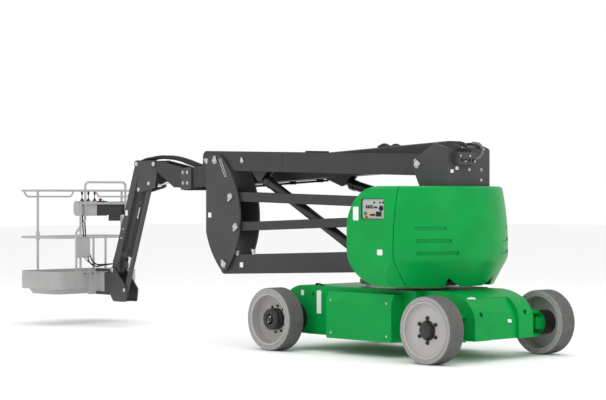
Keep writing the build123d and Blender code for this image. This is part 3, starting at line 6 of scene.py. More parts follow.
import bmesh
import bpy
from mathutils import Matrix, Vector
from mathutils.bvhtree import BVHTree


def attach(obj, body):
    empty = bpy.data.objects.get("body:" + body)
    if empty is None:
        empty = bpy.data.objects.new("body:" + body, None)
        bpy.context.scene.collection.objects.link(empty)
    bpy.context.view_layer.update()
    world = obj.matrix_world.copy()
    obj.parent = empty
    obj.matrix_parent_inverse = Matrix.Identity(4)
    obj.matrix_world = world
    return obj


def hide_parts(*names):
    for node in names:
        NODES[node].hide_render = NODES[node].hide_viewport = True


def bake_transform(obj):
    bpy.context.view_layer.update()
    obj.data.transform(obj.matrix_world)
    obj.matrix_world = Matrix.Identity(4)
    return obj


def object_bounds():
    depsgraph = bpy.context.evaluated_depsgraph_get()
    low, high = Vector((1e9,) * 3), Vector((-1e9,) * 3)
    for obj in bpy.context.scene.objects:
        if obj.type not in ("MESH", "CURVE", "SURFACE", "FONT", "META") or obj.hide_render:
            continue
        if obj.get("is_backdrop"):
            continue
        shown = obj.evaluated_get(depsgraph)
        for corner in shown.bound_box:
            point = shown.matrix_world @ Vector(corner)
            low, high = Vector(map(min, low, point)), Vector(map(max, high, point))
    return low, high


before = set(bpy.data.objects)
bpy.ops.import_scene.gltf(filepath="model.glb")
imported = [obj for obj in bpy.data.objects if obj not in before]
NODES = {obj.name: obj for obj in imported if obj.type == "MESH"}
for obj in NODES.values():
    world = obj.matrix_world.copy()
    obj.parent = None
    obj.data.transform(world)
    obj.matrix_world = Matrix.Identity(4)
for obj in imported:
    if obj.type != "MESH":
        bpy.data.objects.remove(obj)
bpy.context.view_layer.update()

# Places on the machine
AXLE_X = 1.0075
TYRE_R = 0.3
TYRE_W = 0.19
TYRE_BACK_Y = 0.68
BOOM_Y = 0.14
PLATE_Y = 0.29
ARM_Y = 0.26

# Ray starts, clear of the machine or just under its booms
OUTSIDE = 2.0
ABOVE = 3.0
UNDER_BOOM_Z = 0.9

UP = (0, 0, 1)
DOWN = (0, 0, -1)
NEAR = (0, -1, 0)
FAR = (0, 1, 0)
AHEAD = (1, 0, 0)
ASTERN = (-1, 0, 0)


# ---- shader maths
class Value:
    """One output of a shader tree that can be used in plain arithmetic."""

    def __init__(self, finish, socket):
        self.finish = finish
        self.socket = socket

    def math(self, operation, *others, clamp=False):
        settings = {"operation": operation, "use_clamp": clamp}
        inputs = dict(enumerate((self, *others)))
        return self.finish.node("ShaderNodeMath", settings, inputs)

    def __add__(self, other):
        return self.math("ADD", other)

    __radd__ = __add__

    def __sub__(self, other):
        return self.math("SUBTRACT", other)

    def __rsub__(self, other):
        return self.finish.node("ShaderNodeMath", {"operation": "SUBTRACT"}, {0: other, 1: self})

    def __mul__(self, other):
        return self.math("MULTIPLY", other)

    __rmul__ = __mul__

    def __truediv__(self, other):
        return self.math("DIVIDE", other)

    def __pow__(self, other):
        return self.math("POWER", other)

    def __gt__(self, other):
        return self.math("GREATER_THAN", other)

    def clamped(self):
        return self.math("ADD", 0.0, clamp=True)

    def between(self, low, high):
        """0 at or below low, 1 at or above high, smooth between them."""
        settings = {"interpolation_type": "SMOOTHSTEP"}
        inputs = {"Value": self, "From Min": low, "From Max": high}
        return self.finish.node("ShaderNodeMapRange", settings, inputs)


class Finish:
    """A material with one Principled shader, built from values and plain node calls."""

    def __init__(self, name, colour, roughness, metallic=0.0, coat=0.0, specular=0.5):
        self.material = bpy.data.materials.new(name)
        self.material.use_nodes = True
        self.tree = self.material.node_tree
        self.tree.nodes.clear()
        self.shader = self.tree.nodes.new("ShaderNodeBsdfPrincipled")
        output = self.tree.nodes.new("ShaderNodeOutputMaterial")
        self.tree.links.new(self.shader.outputs[0], output.inputs["Surface"])
        self.material.diffuse_color = (*colour, 1)
        self.set("Base Color", (*colour, 1))
        self.set("Roughness", roughness)
        self.set("Metallic", metallic)
        self.set("Coat Weight", coat)
        self.set("Coat Roughness", 0.12)
        self.set("Specular IOR Level", specular)

    def node(self, kind, settings=None, inputs=None, output=0):
        made = self.tree.nodes.new(kind)
        for key, value in (settings or {}).items():
            setattr(made, key, value)
        for key, value in (inputs or {}).items():
            self.join(made.inputs[key], value)
        return Value(self, made.outputs[output])

    def join(self, socket, value):
        if isinstance(value, Value):
            self.tree.links.new(value.socket, socket)
        else:
            socket.default_value = value

    def set(self, name, value):
        self.join(self.shader.inputs[name], value)

    def place(self, scale=(1, 1, 1)):
        where = self.node("ShaderNodeTexCoord", output="Object")
        return self.node("ShaderNodeMapping", None, {"Vector": where, "Scale": scale})

    def axis(self, name):
        split = self.node("ShaderNodeSeparateXYZ", None, {"Vector": self.place()})
        return Value(self, split.socket.node.outputs[name])

    def noise(self, size, detail=3.0, stretch=(1, 1, 1), rough=0.5):
        """Noise with features of about this size in metres."""
        inputs = {"Vector": self.place(stretch), "Scale": 1 / size, "Detail": detail, "Roughness": rough}
        return self.node("ShaderNodeTexNoise", None, inputs)

    def mix(self, mask, first, second):
        made = self.tree.nodes.new("ShaderNodeMix")
        made.data_type = "RGBA"
        self.join(made.inputs[0], mask)
        for socket, colour in ((made.inputs[6], first), (made.inputs[7], second)):
            self.join(socket, colour if isinstance(colour, Value) else (*colour, 1))
        return Value(self, made.outputs[2])

    def bump(self, height, depth):
        """Surface relief of this depth in metres."""
        inputs = {"Height": height, "Distance": depth, "Strength": 1.0}
        self.set("Normal", self.node("ShaderNodeBump", None, inputs))


CLOUDY = 0.05


def paint(
    name,
    colour,
    dusty,
    roughness=0.42,
    coat=0.0,
    peel=0.00008,
    scuff=0.35,
    low=0.15,
    high=0.75,
    specular=0.5,
    split=None,
):
    """Sprayed paint: orange peel, cloudy tone, fine scuffs and a dusting towards the ground.
    A split of (axis, place, colour) gives everything beyond that place another colour."""
    finish = Finish(name, colour, roughness, coat=coat, specular=specular)
    cloud = finish.noise(0.35, 4)
    fine = finish.noise(0.012, 4, rough=0.65)
    streak = finish.noise(0.05, 5, stretch=(1, 1, 0.18), rough=0.7)
    near_ground = 1 - finish.axis("Z").between(low, high)
    darker = tuple(c * (1 - CLOUDY) for c in colour)
    lighter = tuple(min(1, c * (1 + CLOUDY)) for c in colour)
    tone = finish.mix(cloud.between(0.35, 0.65), darker, lighter)
    if split:
        name_of_axis, place, beyond = split
        tone = finish.mix(finish.axis(name_of_axis) > place, tone, beyond)
    dust = (streak.between(0.5, 0.8) * (0.12 + 0.6 * near_ground) * scuff).clamped()
    finish.set("Base Color", finish.mix(dust, tone, dusty))
    finish.set("Roughness", roughness + 0.14 * (fine - 0.5) + 0.25 * dust)
    finish.bump(finish.noise(0.0035, 2) + 0.6 * fine, peel)
    return finish


def metal(name, colour, roughness, brushed=(1, 1, 1)):
    """Bare or plated metal with fine grain, tarnish and rubbed patches."""
    finish = Finish(name, colour, roughness, metallic=1.0)
    grainy = finish.noise(0.004, 3, stretch=brushed)
    cloud = finish.noise(0.03, 4)
    tarnished = tuple(c * 0.6 for c in colour)
    finish.set("Base Color", finish.mix(cloud.between(0.4, 0.75), colour, tarnished))
    finish.set("Roughness", roughness + 0.2 * (grainy - 0.5) + 0.12 * (cloud - 0.5))
    finish.bump(grainy, 0.00006)
    return finish


def rubber(name, colour, roughness, pale=None):
    """Moulded rubber or plastic with a fine matt skin and paler handling marks."""
    finish = Finish(name, colour, roughness, specular=0.15)
    skin = finish.noise(0.004, 3)
    marks = finish.noise(0.06, 5, rough=0.7)
    pale = pale or tuple(min(1, c * 1.6 + 0.02) for c in colour)
    finish.set("Base Color", finish.mix(marks.between(0.5, 0.8) * 0.5, colour, pale))
    finish.set("Roughness", roughness + 0.15 * (marks - 0.5))
    finish.bump(skin + 0.5 * marks, 0.00015)
    return finish


def tyre_finish():
    """Grey solid rubber, mottled with road dust, and with painted shade that darkens the tread and
    shoulders.
    """
    finish = Finish("grey_tyre_rubber", (0.3, 0.295, 0.29), 0.7, specular=0.2)
    mottled = finish.noise(0.03, 4, rough=0.6)
    ahead = finish.axis("X").math("ABSOLUTE") - AXLE_X
    above = finish.axis("Z") - TYRE_R
    radius = (ahead * ahead + above * above) ** 0.5
    # Painted shade: the tread and shoulders take a darker grey than the sidewall, standing in for the
    # shade they sit in.
    tread = radius.between(TYRE_R - 0.011, TYRE_R - 0.003)
    wall = finish.mix(mottled.between(0.35, 0.7), (0.28, 0.277, 0.27), (0.33, 0.327, 0.32))
    painted_tread_shade = finish.mix(mottled.between(0.35, 0.7), (0.105, 0.104, 0.102), (0.135, 0.134, 0.131))
    finish.set("Base Color", finish.mix(tread, wall, painted_tread_shade))
    finish.set("Roughness", 0.62 + 0.2 * mottled)
    finish.bump(finish.noise(0.004, 2), 0.00015)
    return finish


GREEN = (0.0006, 0.285, 0.052)
GREEN_DUST = (0.004, 0.24, 0.05)
COVER_DUST = (0.003, 0.27, 0.05)
CHARCOAL = (0.036, 0.036, 0.037)
CHARCOAL_DUST = (0.07, 0.068, 0.066)
SLATE = (0.05, 0.05, 0.051)
SLATE_DUST = (0.085, 0.083, 0.08)
DARK_CHARCOAL = (0.04, 0.04, 0.042)
DARK_CHARCOAL_DUST = (0.09, 0.088, 0.085)
GREY = (0.37, 0.37, 0.365)
GREY_DUST = (0.24, 0.23, 0.22)
RIM = (0.40, 0.385, 0.37)
RIM_DUST = (0.24, 0.23, 0.21)
BLACK = (0.012, 0.012, 0.012)
BLACK_DUST = (0.06, 0.058, 0.055)

# The rotator is dark towards the nose, and the console's far end is black
ROTATOR_SPLIT = ("X", -4.9905, (0.036, 0.036, 0.038))
CONSOLE_SPLIT = ("Y", 0.15, BLACK)

green_paint = paint("green_enamel", GREEN, GREEN_DUST, 0.4, 0.03, scuff=0.25, specular=0.12)
cover_paint = paint(
    "green_cover_gelcoat", GREEN, COVER_DUST, 0.36, 0.05, scuff=0.15, low=0.6, high=1.0, specular=0.12
)
arm_paint = paint("charcoal_enamel", CHARCOAL, CHARCOAL_DUST, scuff=0.3, specular=0.3)
plate_paint = paint("slate_enamel", SLATE, SLATE_DUST, 0.44, scuff=0.3, specular=0.3)
jib_paint = paint("dark_charcoal_enamel", DARK_CHARCOAL, DARK_CHARCOAL_DUST, 0.4)
platform_paint = paint(
    "light_grey_powder_coat", GREY, GREY_DUST, 0.45, peel=0.0002, scuff=0.5, high=1.2
)
rotator_paint = paint("rotator_and_panel", GREY, GREY_DUST, 0.45, split=ROTATOR_SPLIT)
console_paint = paint("console_and_module", GREY, GREY_DUST, 0.45, split=CONSOLE_SPLIT)
rim_paint = paint("warm_grey_rim_paint", RIM, RIM_DUST, 0.5, scuff=0.6)
black_paint = paint("black_enamel", BLACK, BLACK_DUST, 0.32, scuff=0.4)
black_plastic = rubber("black_plastic", (0.014, 0.014, 0.014), 0.55)
hose_rubber = rubber("hose_rubber", (0.018, 0.018, 0.018), 0.6)
grey_hose = rubber("grey_spiral_sleeve", (0.16, 0.16, 0.16), 0.65)
zinc = metal("zinc_plate", (0.62, 0.62, 0.6), 0.36)
steel = metal("machined_steel", (0.45, 0.45, 0.44), 0.38)
chrome = metal("hard_chrome", (0.78, 0.78, 0.78), 0.1, brushed=(0.2, 1, 1))
tyre_rubber = tyre_finish()
white_vinyl = rubber("white_vinyl", (0.78, 0.78, 0.76), 0.4, (0.7, 0.7, 0.68))
green_plastic = rubber("green_plastic", (0.01, 0.25, 0.06), 0.4, (0.05, 0.33, 0.1))
red_plastic = rubber("red_plastic", (0.5, 0.012, 0.01), 0.4, (0.6, 0.05, 0.04))
amber_plastic = rubber("amber_plastic", (0.75, 0.36, 0.03), 0.4, (0.8, 0.45, 0.1))

# Which finish each CAD piece takes, by a part of its name; the first match counts
FINISHES = (
    (green_paint, ("chassis_frame", "front_cover", "battery_box", "steering_knuckle")),
    (cover_paint, ("tail_counterweight", "hood_")),
    (arm_paint, ("lower_arm", "upper_arm", "_tie", "boom_outer", "boom_inner", "turntable_base")),
    (plate_paint, ("knuckle_plates", "rear_head", "head_valve_box")),
    (jib_paint, ("jib_head", "jib_beam", "jib_link", "jib_foot", "platform_rotator")),
    (platform_paint, ("platform_", "entry_bar", "ground_control_box", "console", "guard_")),
    (rim_paint, ("rim_",)),
    (tyre_rubber, ("tyre_",)),
    (black_paint, ("hub_", "drive_gearboxes", "_barrel", "hydraulic_power_unit", "charger_cabinet")),
    (chrome, ("_rod",)),
    (steel, ("slew_ring",)),
    (hose_rubber, ("hose",)),
)
EXACT = {
    "platform_rotator": rotator_paint,
    "platform_console": console_paint,
    "lift_cylinder_rod": black_paint,
}
for name, node in NODES.items():
    finish = EXACT.get(name)
    if finish is None:
        matches = [f for f, keys in FINISHES if any(key in name for key in keys)]
        finish = matches[0] if matches else black_plastic
    node.data.materials.clear()
    node.data.materials.append(finish.material)

# ---- mesh helpers
ZERO = Vector((0, 0, 0))


def across(axis):
    """Three unit vectors: the axis and two more at right angles to it."""
    axis = Vector(axis).normalized()
    side = axis.cross(Vector(UP))
    if side.length < 0.1:
        side = axis.cross(Vector(FAR))
    side.normalize()
    return axis, side, axis.cross(side)


def lathe(bm, centre, axis, profile, sides=40, closed=False):
    """Turned form from (radius, height) pairs; a radius of 0 closes it on the axis."""
    axis, side, up = across(axis)
    centre = Vector(centre)
    rings = []
    for radius, height in profile:
        if radius < 1e-6:
            rings.append([bm.verts.new(centre + axis * height)])
            continue
        turns = [2 * pi * (k + 0.5) / sides for k in range(sides)]
        middle = centre + axis * height
        rings.append([bm.verts.new(middle + (side * cos(t) + up * sin(t)) * radius) for t in turns])
    pairs = list(zip(rings, rings[1:]))
    if closed:
        pairs.append((rings[-1], rings[0]))
    for first, second in pairs:
        for k in range(sides):
            m = (k + 1) % sides
            corners = [first[k % len(first)], first[m % len(first)]]
            corners += [second[m % len(second)], second[k % len(second)]]
            corners = list(dict.fromkeys(corners))
            if len(corners) > 2:
                bm.faces.new(corners)
    if not closed:
        for ring in (rings[0], rings[-1]):
            if len(ring) > 1:
                bm.faces.new(ring)


def rounded(width, height, radius, steps=4):
    """Rounded rectangle as (a, b) points about its middle."""
    points = []
    for sx, sy, turn in ((1, 1, 0), (-1, 1, 90), (-1, -1, 180), (1, -1, 270)):
        for k in range(steps + 1):
            t = radians(turn + 90 * k / steps)
            a = sx * (width / 2 - radius) + radius * cos(t)
            b = sy * (height / 2 - radius) + radius * sin(t)
            points.append((a, b))
    return points


def slab(bm, centre, a_dir, b_dir, outline, thick, chamfer=0.001):
    """Plate with a chamfered front edge, standing on its centre along a x b."""
    a_dir, b_dir = Vector(a_dir).normalized(), Vector(b_dir).normalized()
    up = a_dir.cross(b_dir)
    centre = Vector(centre)
    mid = (sum(p[0] for p in outline) / len(outline), sum(p[1] for p in outline) / len(outline))
    rings = []
    for height, shrink in ((0, 0), (thick - chamfer, 0), (thick, chamfer)):
        ring = []
        for a, b in outline:
            out = Vector((a - mid[0], b - mid[1]))
            out = out * (1 - shrink / max(out.length, 1e-6))
            place = centre + a_dir * (mid[0] + out.x) + b_dir * (mid[1] + out.y) + up * height
            ring.append(bm.verts.new(place))
        rings.append(ring)
    count = len(outline)
    for lower, upper in zip(rings, rings[1:]):
        for k in range(count):
            bm.faces.new((lower[k], lower[(k + 1) % count], upper[(k + 1) % count], upper[k]))
    bm.faces.new(rings[-1])
    bm.faces.new(list(reversed(rings[0])))


def block(bm, low, high, bevel):
    """Box between two corners with rounded edges."""
    low, high = Vector(low), Vector(high)
    made = bmesh.ops.create_cube(bm, size=1.0)["verts"]
    for vert in made:
        vert.co = Vector([(low[i] + high[i]) / 2 + vert.co[i] * (high[i] - low[i]) for i in range(3)])
    edges = list({edge for vert in made for edge in vert.link_edges})
    bmesh.ops.bevel(bm, geom=edges, offset=bevel, segments=2, affect="EDGES", profile=0.6)


def finished(name, mesh, body, finish, angle=35):
    """Object that rides on a body, with its finish and smooth faces between sharp edges."""
    made = bpy.data.objects.new(name, mesh)
    bpy.context.collection.objects.link(made)
    mesh.materials.clear()
    mesh.materials.append(finish.material)
    mesh.polygons.foreach_set("material_index", [0] * len(mesh.polygons))
    mesh.shade_smooth()
    mesh.set_sharp_from_angle(angle=radians(angle))
    if isinstance(body, str):
        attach(made, body)
    else:
        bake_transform(made)
    return made


def mesh_of(name, bm):
    """Plain mesh with its faces turned outwards; the working mesh is let go."""
    bmesh.ops.recalc_face_normals(bm, faces=bm.faces)
    mesh = bpy.data.meshes.new(name)
    bm.to_mesh(mesh)
    bm.free()
    return mesh


def from_bmesh(name, bm, body, finish, angle=35):
    return finished(name, mesh_of(name, bm), body, finish, angle)


# ---- geometry node trees
def new_tree(name, inputs):
    tree = bpy.data.node_groups.new(name, "GeometryNodeTree")
    for label, kind in inputs:
        tree.interface.new_socket(name=label, in_out="INPUT", socket_type=kind)
    tree.interface.new_socket(name="Geometry", in_out="OUTPUT", socket_type="NodeSocketGeometry")
    start = tree.nodes.new("NodeGroupInput")
    end = tree.nodes.new("NodeGroupOutput")
    return tree, start.outputs, end.inputs[0]


def end_tree(tree, geometry, finish, result):
    """Makes the geometry real and gives it its finish."""
    real = tree.nodes.new("GeometryNodeRealizeInstances")
    tree.links.new(geometry, real.inputs[0])
    painted = tree.nodes.new("GeometryNodeSetMaterial")
    tree.links.new(real.outputs[0], painted.inputs["Geometry"])
    tree.links.new(finish, painted.inputs["Material"])
    tree.links.new(painted.outputs[0], result)


def fastener_tree():
    """Copies one fastener onto every point, turned to the point's facing."""
    wanted = (
        ("Points", "NodeSocketGeometry"),
        ("Fastener", "NodeSocketObject"),
        ("Size", "NodeSocketFloat"),
        ("Finish", "NodeSocketMaterial"),
    )
    tree, given, result = new_tree("fasteners_on_points", wanted)
    link = tree.links.new
    info = tree.nodes.new("GeometryNodeObjectInfo")
    link(given["Fastener"], info.inputs["Object"])
    facing = tree.nodes.new("GeometryNodeInputNamedAttribute")
    facing.data_type = "FLOAT_VECTOR"
    facing.inputs["Name"].default_value = "facing"
    align = tree.nodes.new("FunctionNodeAlignRotationToVector")
    align.axis = "Z"
    link(facing.outputs["Attribute"], align.inputs["Vector"])
    copies = tree.nodes.new("GeometryNodeInstanceOnPoints")
    link(given["Points"], copies.inputs["Points"])
    link(info.outputs["Geometry"], copies.inputs["Instance"])
    link(align.outputs[0], copies.inputs["Rotation"])
    link(given["Size"], copies.inputs["Scale"])
    end_tree(tree, copies.outputs[0], given["Finish"], result)
    return tree


def hose_tree():
    """Tube along a route, with ribs of a given pitch and depth where asked."""
    wanted = (
        ("Route", "NodeSocketGeometry"),
        ("Radius", "NodeSocketFloat"),
        ("Step", "NodeSocketFloat"),
        ("Rib Pitch", "NodeSocketFloat"),
        ("Rib Depth", "NodeSocketFloat"),
        ("Finish", "NodeSocketMaterial"),
    )
    tree, given, result = new_tree("hose_along_route", wanted)
    link = tree.links.new
    even = tree.nodes.new("GeometryNodeResampleCurve")
    even.mode = "LENGTH"
    link(given["Route"], even.inputs["Curve"])
    link(given["Step"], even.inputs["Length"])
    along = tree.nodes.new("GeometryNodeSplineParameter")
    keep = tree.nodes.new("GeometryNodeCaptureAttribute")
    keep.capture_items.new("FLOAT", "Along")
    link(even.outputs[0], keep.inputs["Geometry"])
    link(along.outputs["Length"], keep.inputs["Along"])
    ring = tree.nodes.new("GeometryNodeCurvePrimitiveCircle")
    ring.inputs["Resolution"].default_value = 12
    link(given["Radius"], ring.inputs["Radius"])
    tube = tree.nodes.new("GeometryNodeCurveToMesh")
    link(keep.outputs["Geometry"], tube.inputs["Curve"])
    link(ring.outputs[0], tube.inputs["Profile Curve"])
    tube.inputs["Fill Caps"].default_value = True

    def maths(operation, first, second):
        made = tree.nodes.new("ShaderNodeMath")
        made.operation = operation
        for socket, value in zip(made.inputs, (first, second)):
            if isinstance(value, (int, float)):
                socket.default_value = value
            elif value is not None:
                link(value, socket)
        return made.outputs[0]

    turns = maths("DIVIDE", keep.outputs["Along"], given["Rib Pitch"])
    wave = maths("SINE", maths("MULTIPLY", turns, 2 * pi), None)
    height = maths("MULTIPLY", wave, given["Rib Depth"])
    normal = tree.nodes.new("GeometryNodeInputNormal")
    push = tree.nodes.new("ShaderNodeVectorMath")
    push.operation = "SCALE"
    link(normal.outputs[0], push.inputs[0])
    link(height, push.inputs["Scale"])
    ribs = tree.nodes.new("GeometryNodeSetPosition")
    link(tube.outputs[0], ribs.inputs["Geometry"])
    link(push.outputs[0], ribs.inputs["Offset"])
    end_tree(tree, ribs.outputs[0], given["Finish"], result)
    return tree


FASTENERS = fastener_tree()
HOSES = hose_tree()


def grown(name, source, tree, values, body, finish, angle):
    """Runs a node tree on a source object and keeps its result as a plain mesh."""
    bpy.context.collection.objects.link(source)
    modifier = source.modifiers.new("grow", "NODES")
    modifier.node_group = tree
    for item in tree.interface.items_tree:
        if item.in_out == "INPUT" and item.name in values:
            modifier[item.identifier] = values[item.name]
    bpy.context.view_layer.update()
    graph = bpy.context.evaluated_depsgraph_get()
    mesh = bpy.data.meshes.new_from_object(source.evaluated_get(graph), depsgraph=graph)
    mesh.name = name
    source.modifiers.remove(modifier)
    bpy.data.objects.remove(source)
    return finished(name, mesh, body, finish, angle)


def template(name, build):
    """Fastener of unit size, to be copied onto points."""
    bm = bmesh.new()
    build(bm)
    made = bpy.data.objects.new(name, mesh_of(name, bm))
    bpy.context.collection.objects.link(made)
    return made


def hex_bolt(bm):
    """Hexagon head on a washer, 1 unit across the head's corners."""
    lathe(bm, ZERO, UP, ((0.3, -0.1), (0.66, -0.02), (0.68, 0.02), (0.66, 0.1), (0.5, 0.12)), 20)
    lathe(bm, ZERO, UP, ((0.5, 0.1), (0.5, 0.36), (0.44, 0.44), (0.0, 0.44)), 6)


def dome_screw(bm):
    """Low domed screw head with a socket."""
    head = ((0.3, -0.1), (0.5, -0.02), (0.49, 0.12), (0.4, 0.24), (0.24, 0.3))
    lathe(bm, ZERO, UP, head + ((0.2, 0.16), (0.0, 0.16)), 18)


def wheel_nut(bm):
    """Cone-seat nut with the stud end standing out of it."""
    lathe(bm, ZERO, UP, ((0.62, -0.1), (0.6, 0.08), (0.5, 0.16)), 20)
    lathe(bm, ZERO, UP, ((0.5, 0.1), (0.5, 0.52), (0.42, 0.6), (0.26, 0.6)), 6)
    lathe(bm, ZERO, UP, ((0.24, 0.5), (0.24, 0.78), (0.18, 0.86), (0.0, 0.86)), 14)


HEX = template("hex_bolt", hex_bolt)
DOME = template("dome_screw", dome_screw)
NUT = template("wheel_nut", wheel_nut)


def fasten(name, body, kind, size, places, finish):
    """Fasteners of one kind at (point, facing) places."""
    mesh = bpy.data.meshes.new(name + "_points")
    mesh.from_pydata([tuple(p) for p, _ in places], [], [])
    facing = mesh.attributes.new("facing", "FLOAT_VECTOR", "POINT")
    facing.data.foreach_set("vector", [c for _, n in places for c in n])
    source = bpy.data.objects.new(name + "_points", mesh)
    values = {"Fastener": kind, "Size": size, "Finish": finish.material}
    return grown(name, source, FASTENERS, values, body, finish, 30)


def route_of(name, points):
    """Smooth curve through these points."""
    curve = bpy.data.curves.new(name, "CURVE")
    curve.dimensions = "3D"
    spline = curve.splines.new("BEZIER")
    spline.bezier_points.add(len(points) - 1)
    for knot, place in zip(spline.bezier_points, points):
        knot.co = place
        knot.handle_left_type = knot.handle_right_type = "AUTO"
    spline.resolution_u = 14
    return bpy.data.objects.new(name, curve)


def hose(name, body, points, radius, finish=None, pitch=0.02, ribs=0.0):
    """Hose, cable or pipe through these points."""
    finish = finish or hose_rubber
    values = {
        "Radius": radius,
        "Step": pitch / 4 if ribs else max(radius * 1.2, 0.008),
        "Rib Pitch": pitch,
        "Rib Depth": ribs,
        "Finish": finish.material,
    }
    return grown(name, route_of(name + "_route", points), HOSES, values, body, finish, 50)


# ---- wheels


def ring_places(centre, axis, radius, count, height, start):
    """Evenly spaced (point, facing) places on a circle about an axis."""
    axis, side, up = across(axis)
    turns = [start + 2 * pi * k / count for k in range(count)]
    middle = Vector(centre) + axis * height
    return [(middle + (side * cos(t) + up * sin(t)) * radius, axis) for t in turns]


def tyre_profile(opening, groove, count):
    """Closed section: bead, stepped sidewalls, rubbed-down shoulders and grooves round the tread."""
    side = (
        (opening, 0.012),
        (opening + 0.0015, 0.003),
        (opening + 0.006, 0.0),
        (opening + 0.012, 0.0),
        (opening + 0.015, 0.0018),
        (TYRE_R - 0.022, 0.0022),
        (TYRE_R - 0.019, 0.0),
        (TYRE_R - 0.012, 0.0006),
        (TYRE_R - 0.0035, 0.0065),
        (TYRE_R - 0.0004, 0.014),
    )
    points = list(side)
    for k in range(1, count + 1):
        middle = 0.014 + (TYRE_W - 0.028) * k / (count + 1)
        points += [
            (TYRE_R, middle - 0.006),
            (TYRE_R - groove * 0.8, middle - 0.0035),
            (TYRE_R - groove, middle),
            (TYRE_R - groove * 0.8, middle + 0.0035),
            (TYRE_R, middle + 0.006),
        ]
    points += [(r, TYRE_W - h) for r, h in reversed(side)]
    return points


def rim_lip(opening):
    """Rolled edge that holds the tyre, as a closed section."""
    wall = opening - 0.009
    return (
        (opening - 0.0006, TYRE_W - 0.004),
        (opening - 0.002, TYRE_W - 0.0006),
        (wall - 0.001, TYRE_W - 0.0006),
        (wall - 0.005, TYRE_W - 0.003),
        (wall - 0.006, TYRE_W - 0.010),
        (wall - 0.002, TYRE_W - 0.018),
        (wall + 0.002, TYRE_W - 0.02),
    )


def disc_fillet(opening, disc):
    """Pressed curve between the rim's wall and its disc, as a closed section."""
    wall = opening - 0.009
    return (
        (wall + 0.002, disc + 0.028),
        (wall - 0.001, disc + 0.026),
        (wall - 0.004, disc + 0.014),
        (wall - 0.011, disc + 0.005),
        (wall - 0.026, disc + 0.0008),
        (wall - 0.028, disc - 0.002),
        (wall + 0.002, disc - 0.002),
    )


def front_hub(bm, centre, out, disc):
    """Steered wheel: hub ring, bearing cover and grease cap."""
    face = disc + 0.038
    ring = ((0.09, disc - 0.001), (0.0895, disc + 0.004), (0.084, disc + 0.008), (0.08, disc))
    cover = ((0.0665, face - 0.003), (0.0655, face + 0.001), (0.06, face + 0.0025))
    cap = ((0.047, face), (0.045, face + 0.0045), (0.03, face + 0.0062), (0.0, face + 0.0066))
    lathe(bm, centre, out, ring, 48)
    lathe(bm, centre, out, cover + ((0.052, face + 0.0022),), 48)
    lathe(bm, centre, out, cap, 40)


def rear_hub(bm, centre, out, disc, face):
    """Driven wheel: gearbox flange, end cover and its boss."""
    flange = ((0.1045, disc + 0.03), (0.1045, disc + 0.042), (0.1015, disc + 0.045))
    cover = ((0.088, face - 0.004), (0.087, face + 0.003), (0.05, face + 0.004), (0.048, face))
    boss = ((0.036, face), (0.034, face + 0.008), (0.02, face + 0.012), (0.0, face + 0.0125))
    lathe(bm, centre, out, flange, 60)
    lathe(bm, centre, out, cover, 48)
    lathe(bm, centre, out, boss, 30)


def dress_wheel(end, where, centre, out):
    """Moulded tyre, rim edges, hub and nuts of one wheel."""
    front = end == "front"
    body = f"wheel_{end}_{where}"
    opening = 0.253 if front else 0.246
    disc = TYRE_W - (0.045 if front else 0.118)
    groove, count = (0.0042, 5) if front else (0.0011, 7)
    bm = bmesh.new()
    lathe(bm, centre, out, tyre_profile(opening, groove, count), 112, True)
    rubber_tyre = from_bmesh(f"moulded_tyre_{end}_{where}", bm, body, tyre_rubber, 28)
    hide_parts(f"tyre_{end}_{where}")
    bm = bmesh.new()
    lathe(bm, centre, out, rim_lip(opening), 96, True)
    lathe(bm, centre, out, disc_fillet(opening, disc), 96, True)
    if not front:
        seat_ring = ((0.15, disc), (0.148, disc + 0.0025), (0.104, disc + 0.0025))
        lathe(bm, centre, out, seat_ring + ((0.104, disc - 0.001),), 72)
    from_bmesh(f"rim_beads_{end}_{where}", bm, body, rim_paint, 25)
    nuts = f"wheel_nuts_{end}_{where}"
    bm = bmesh.new()
    if front:
        front_hub(bm, centre, out, disc)
        places = ring_places(centre, out, radius=0.108, count=6, height=disc, start=pi / 6)
        fasten(nuts, body, NUT, 0.031, places, black_paint)
    else:
        face = TYRE_W - 0.022
        rear_hub(bm, centre, out, disc, face)
        places = ring_places(centre, out, radius=0.127, count=10, height=disc + 0.0025, start=0.2)
        fasten(nuts, body, NUT, 0.022, places, black_paint)
        places = ring_places(centre, out, radius=0.069, count=8, height=face + 0.0034, start=0.1)
        fasten(f"hub_screws_{end}_{where}", body, HEX, 0.013, places, black_paint)
        plugs = ring_places(centre, out, radius=0.028, count=2, height=face + 0.006, start=1.1)
        fasten(f"oil_plugs_{end}_{where}", body, DOME, 0.02, plugs, zinc)
    from_bmesh(f"hub_cap_{end}_{where}", bm, body, black_paint, 30)


for end, x in (("front", AXLE_X), ("rear", -AXLE_X)):
    for where, hand in (("left", 1), ("right", -1)):
        dress_wheel(end, where, Vector((x, hand * TYRE_BACK_Y, TYRE_R)), Vector((0, hand, 0)))

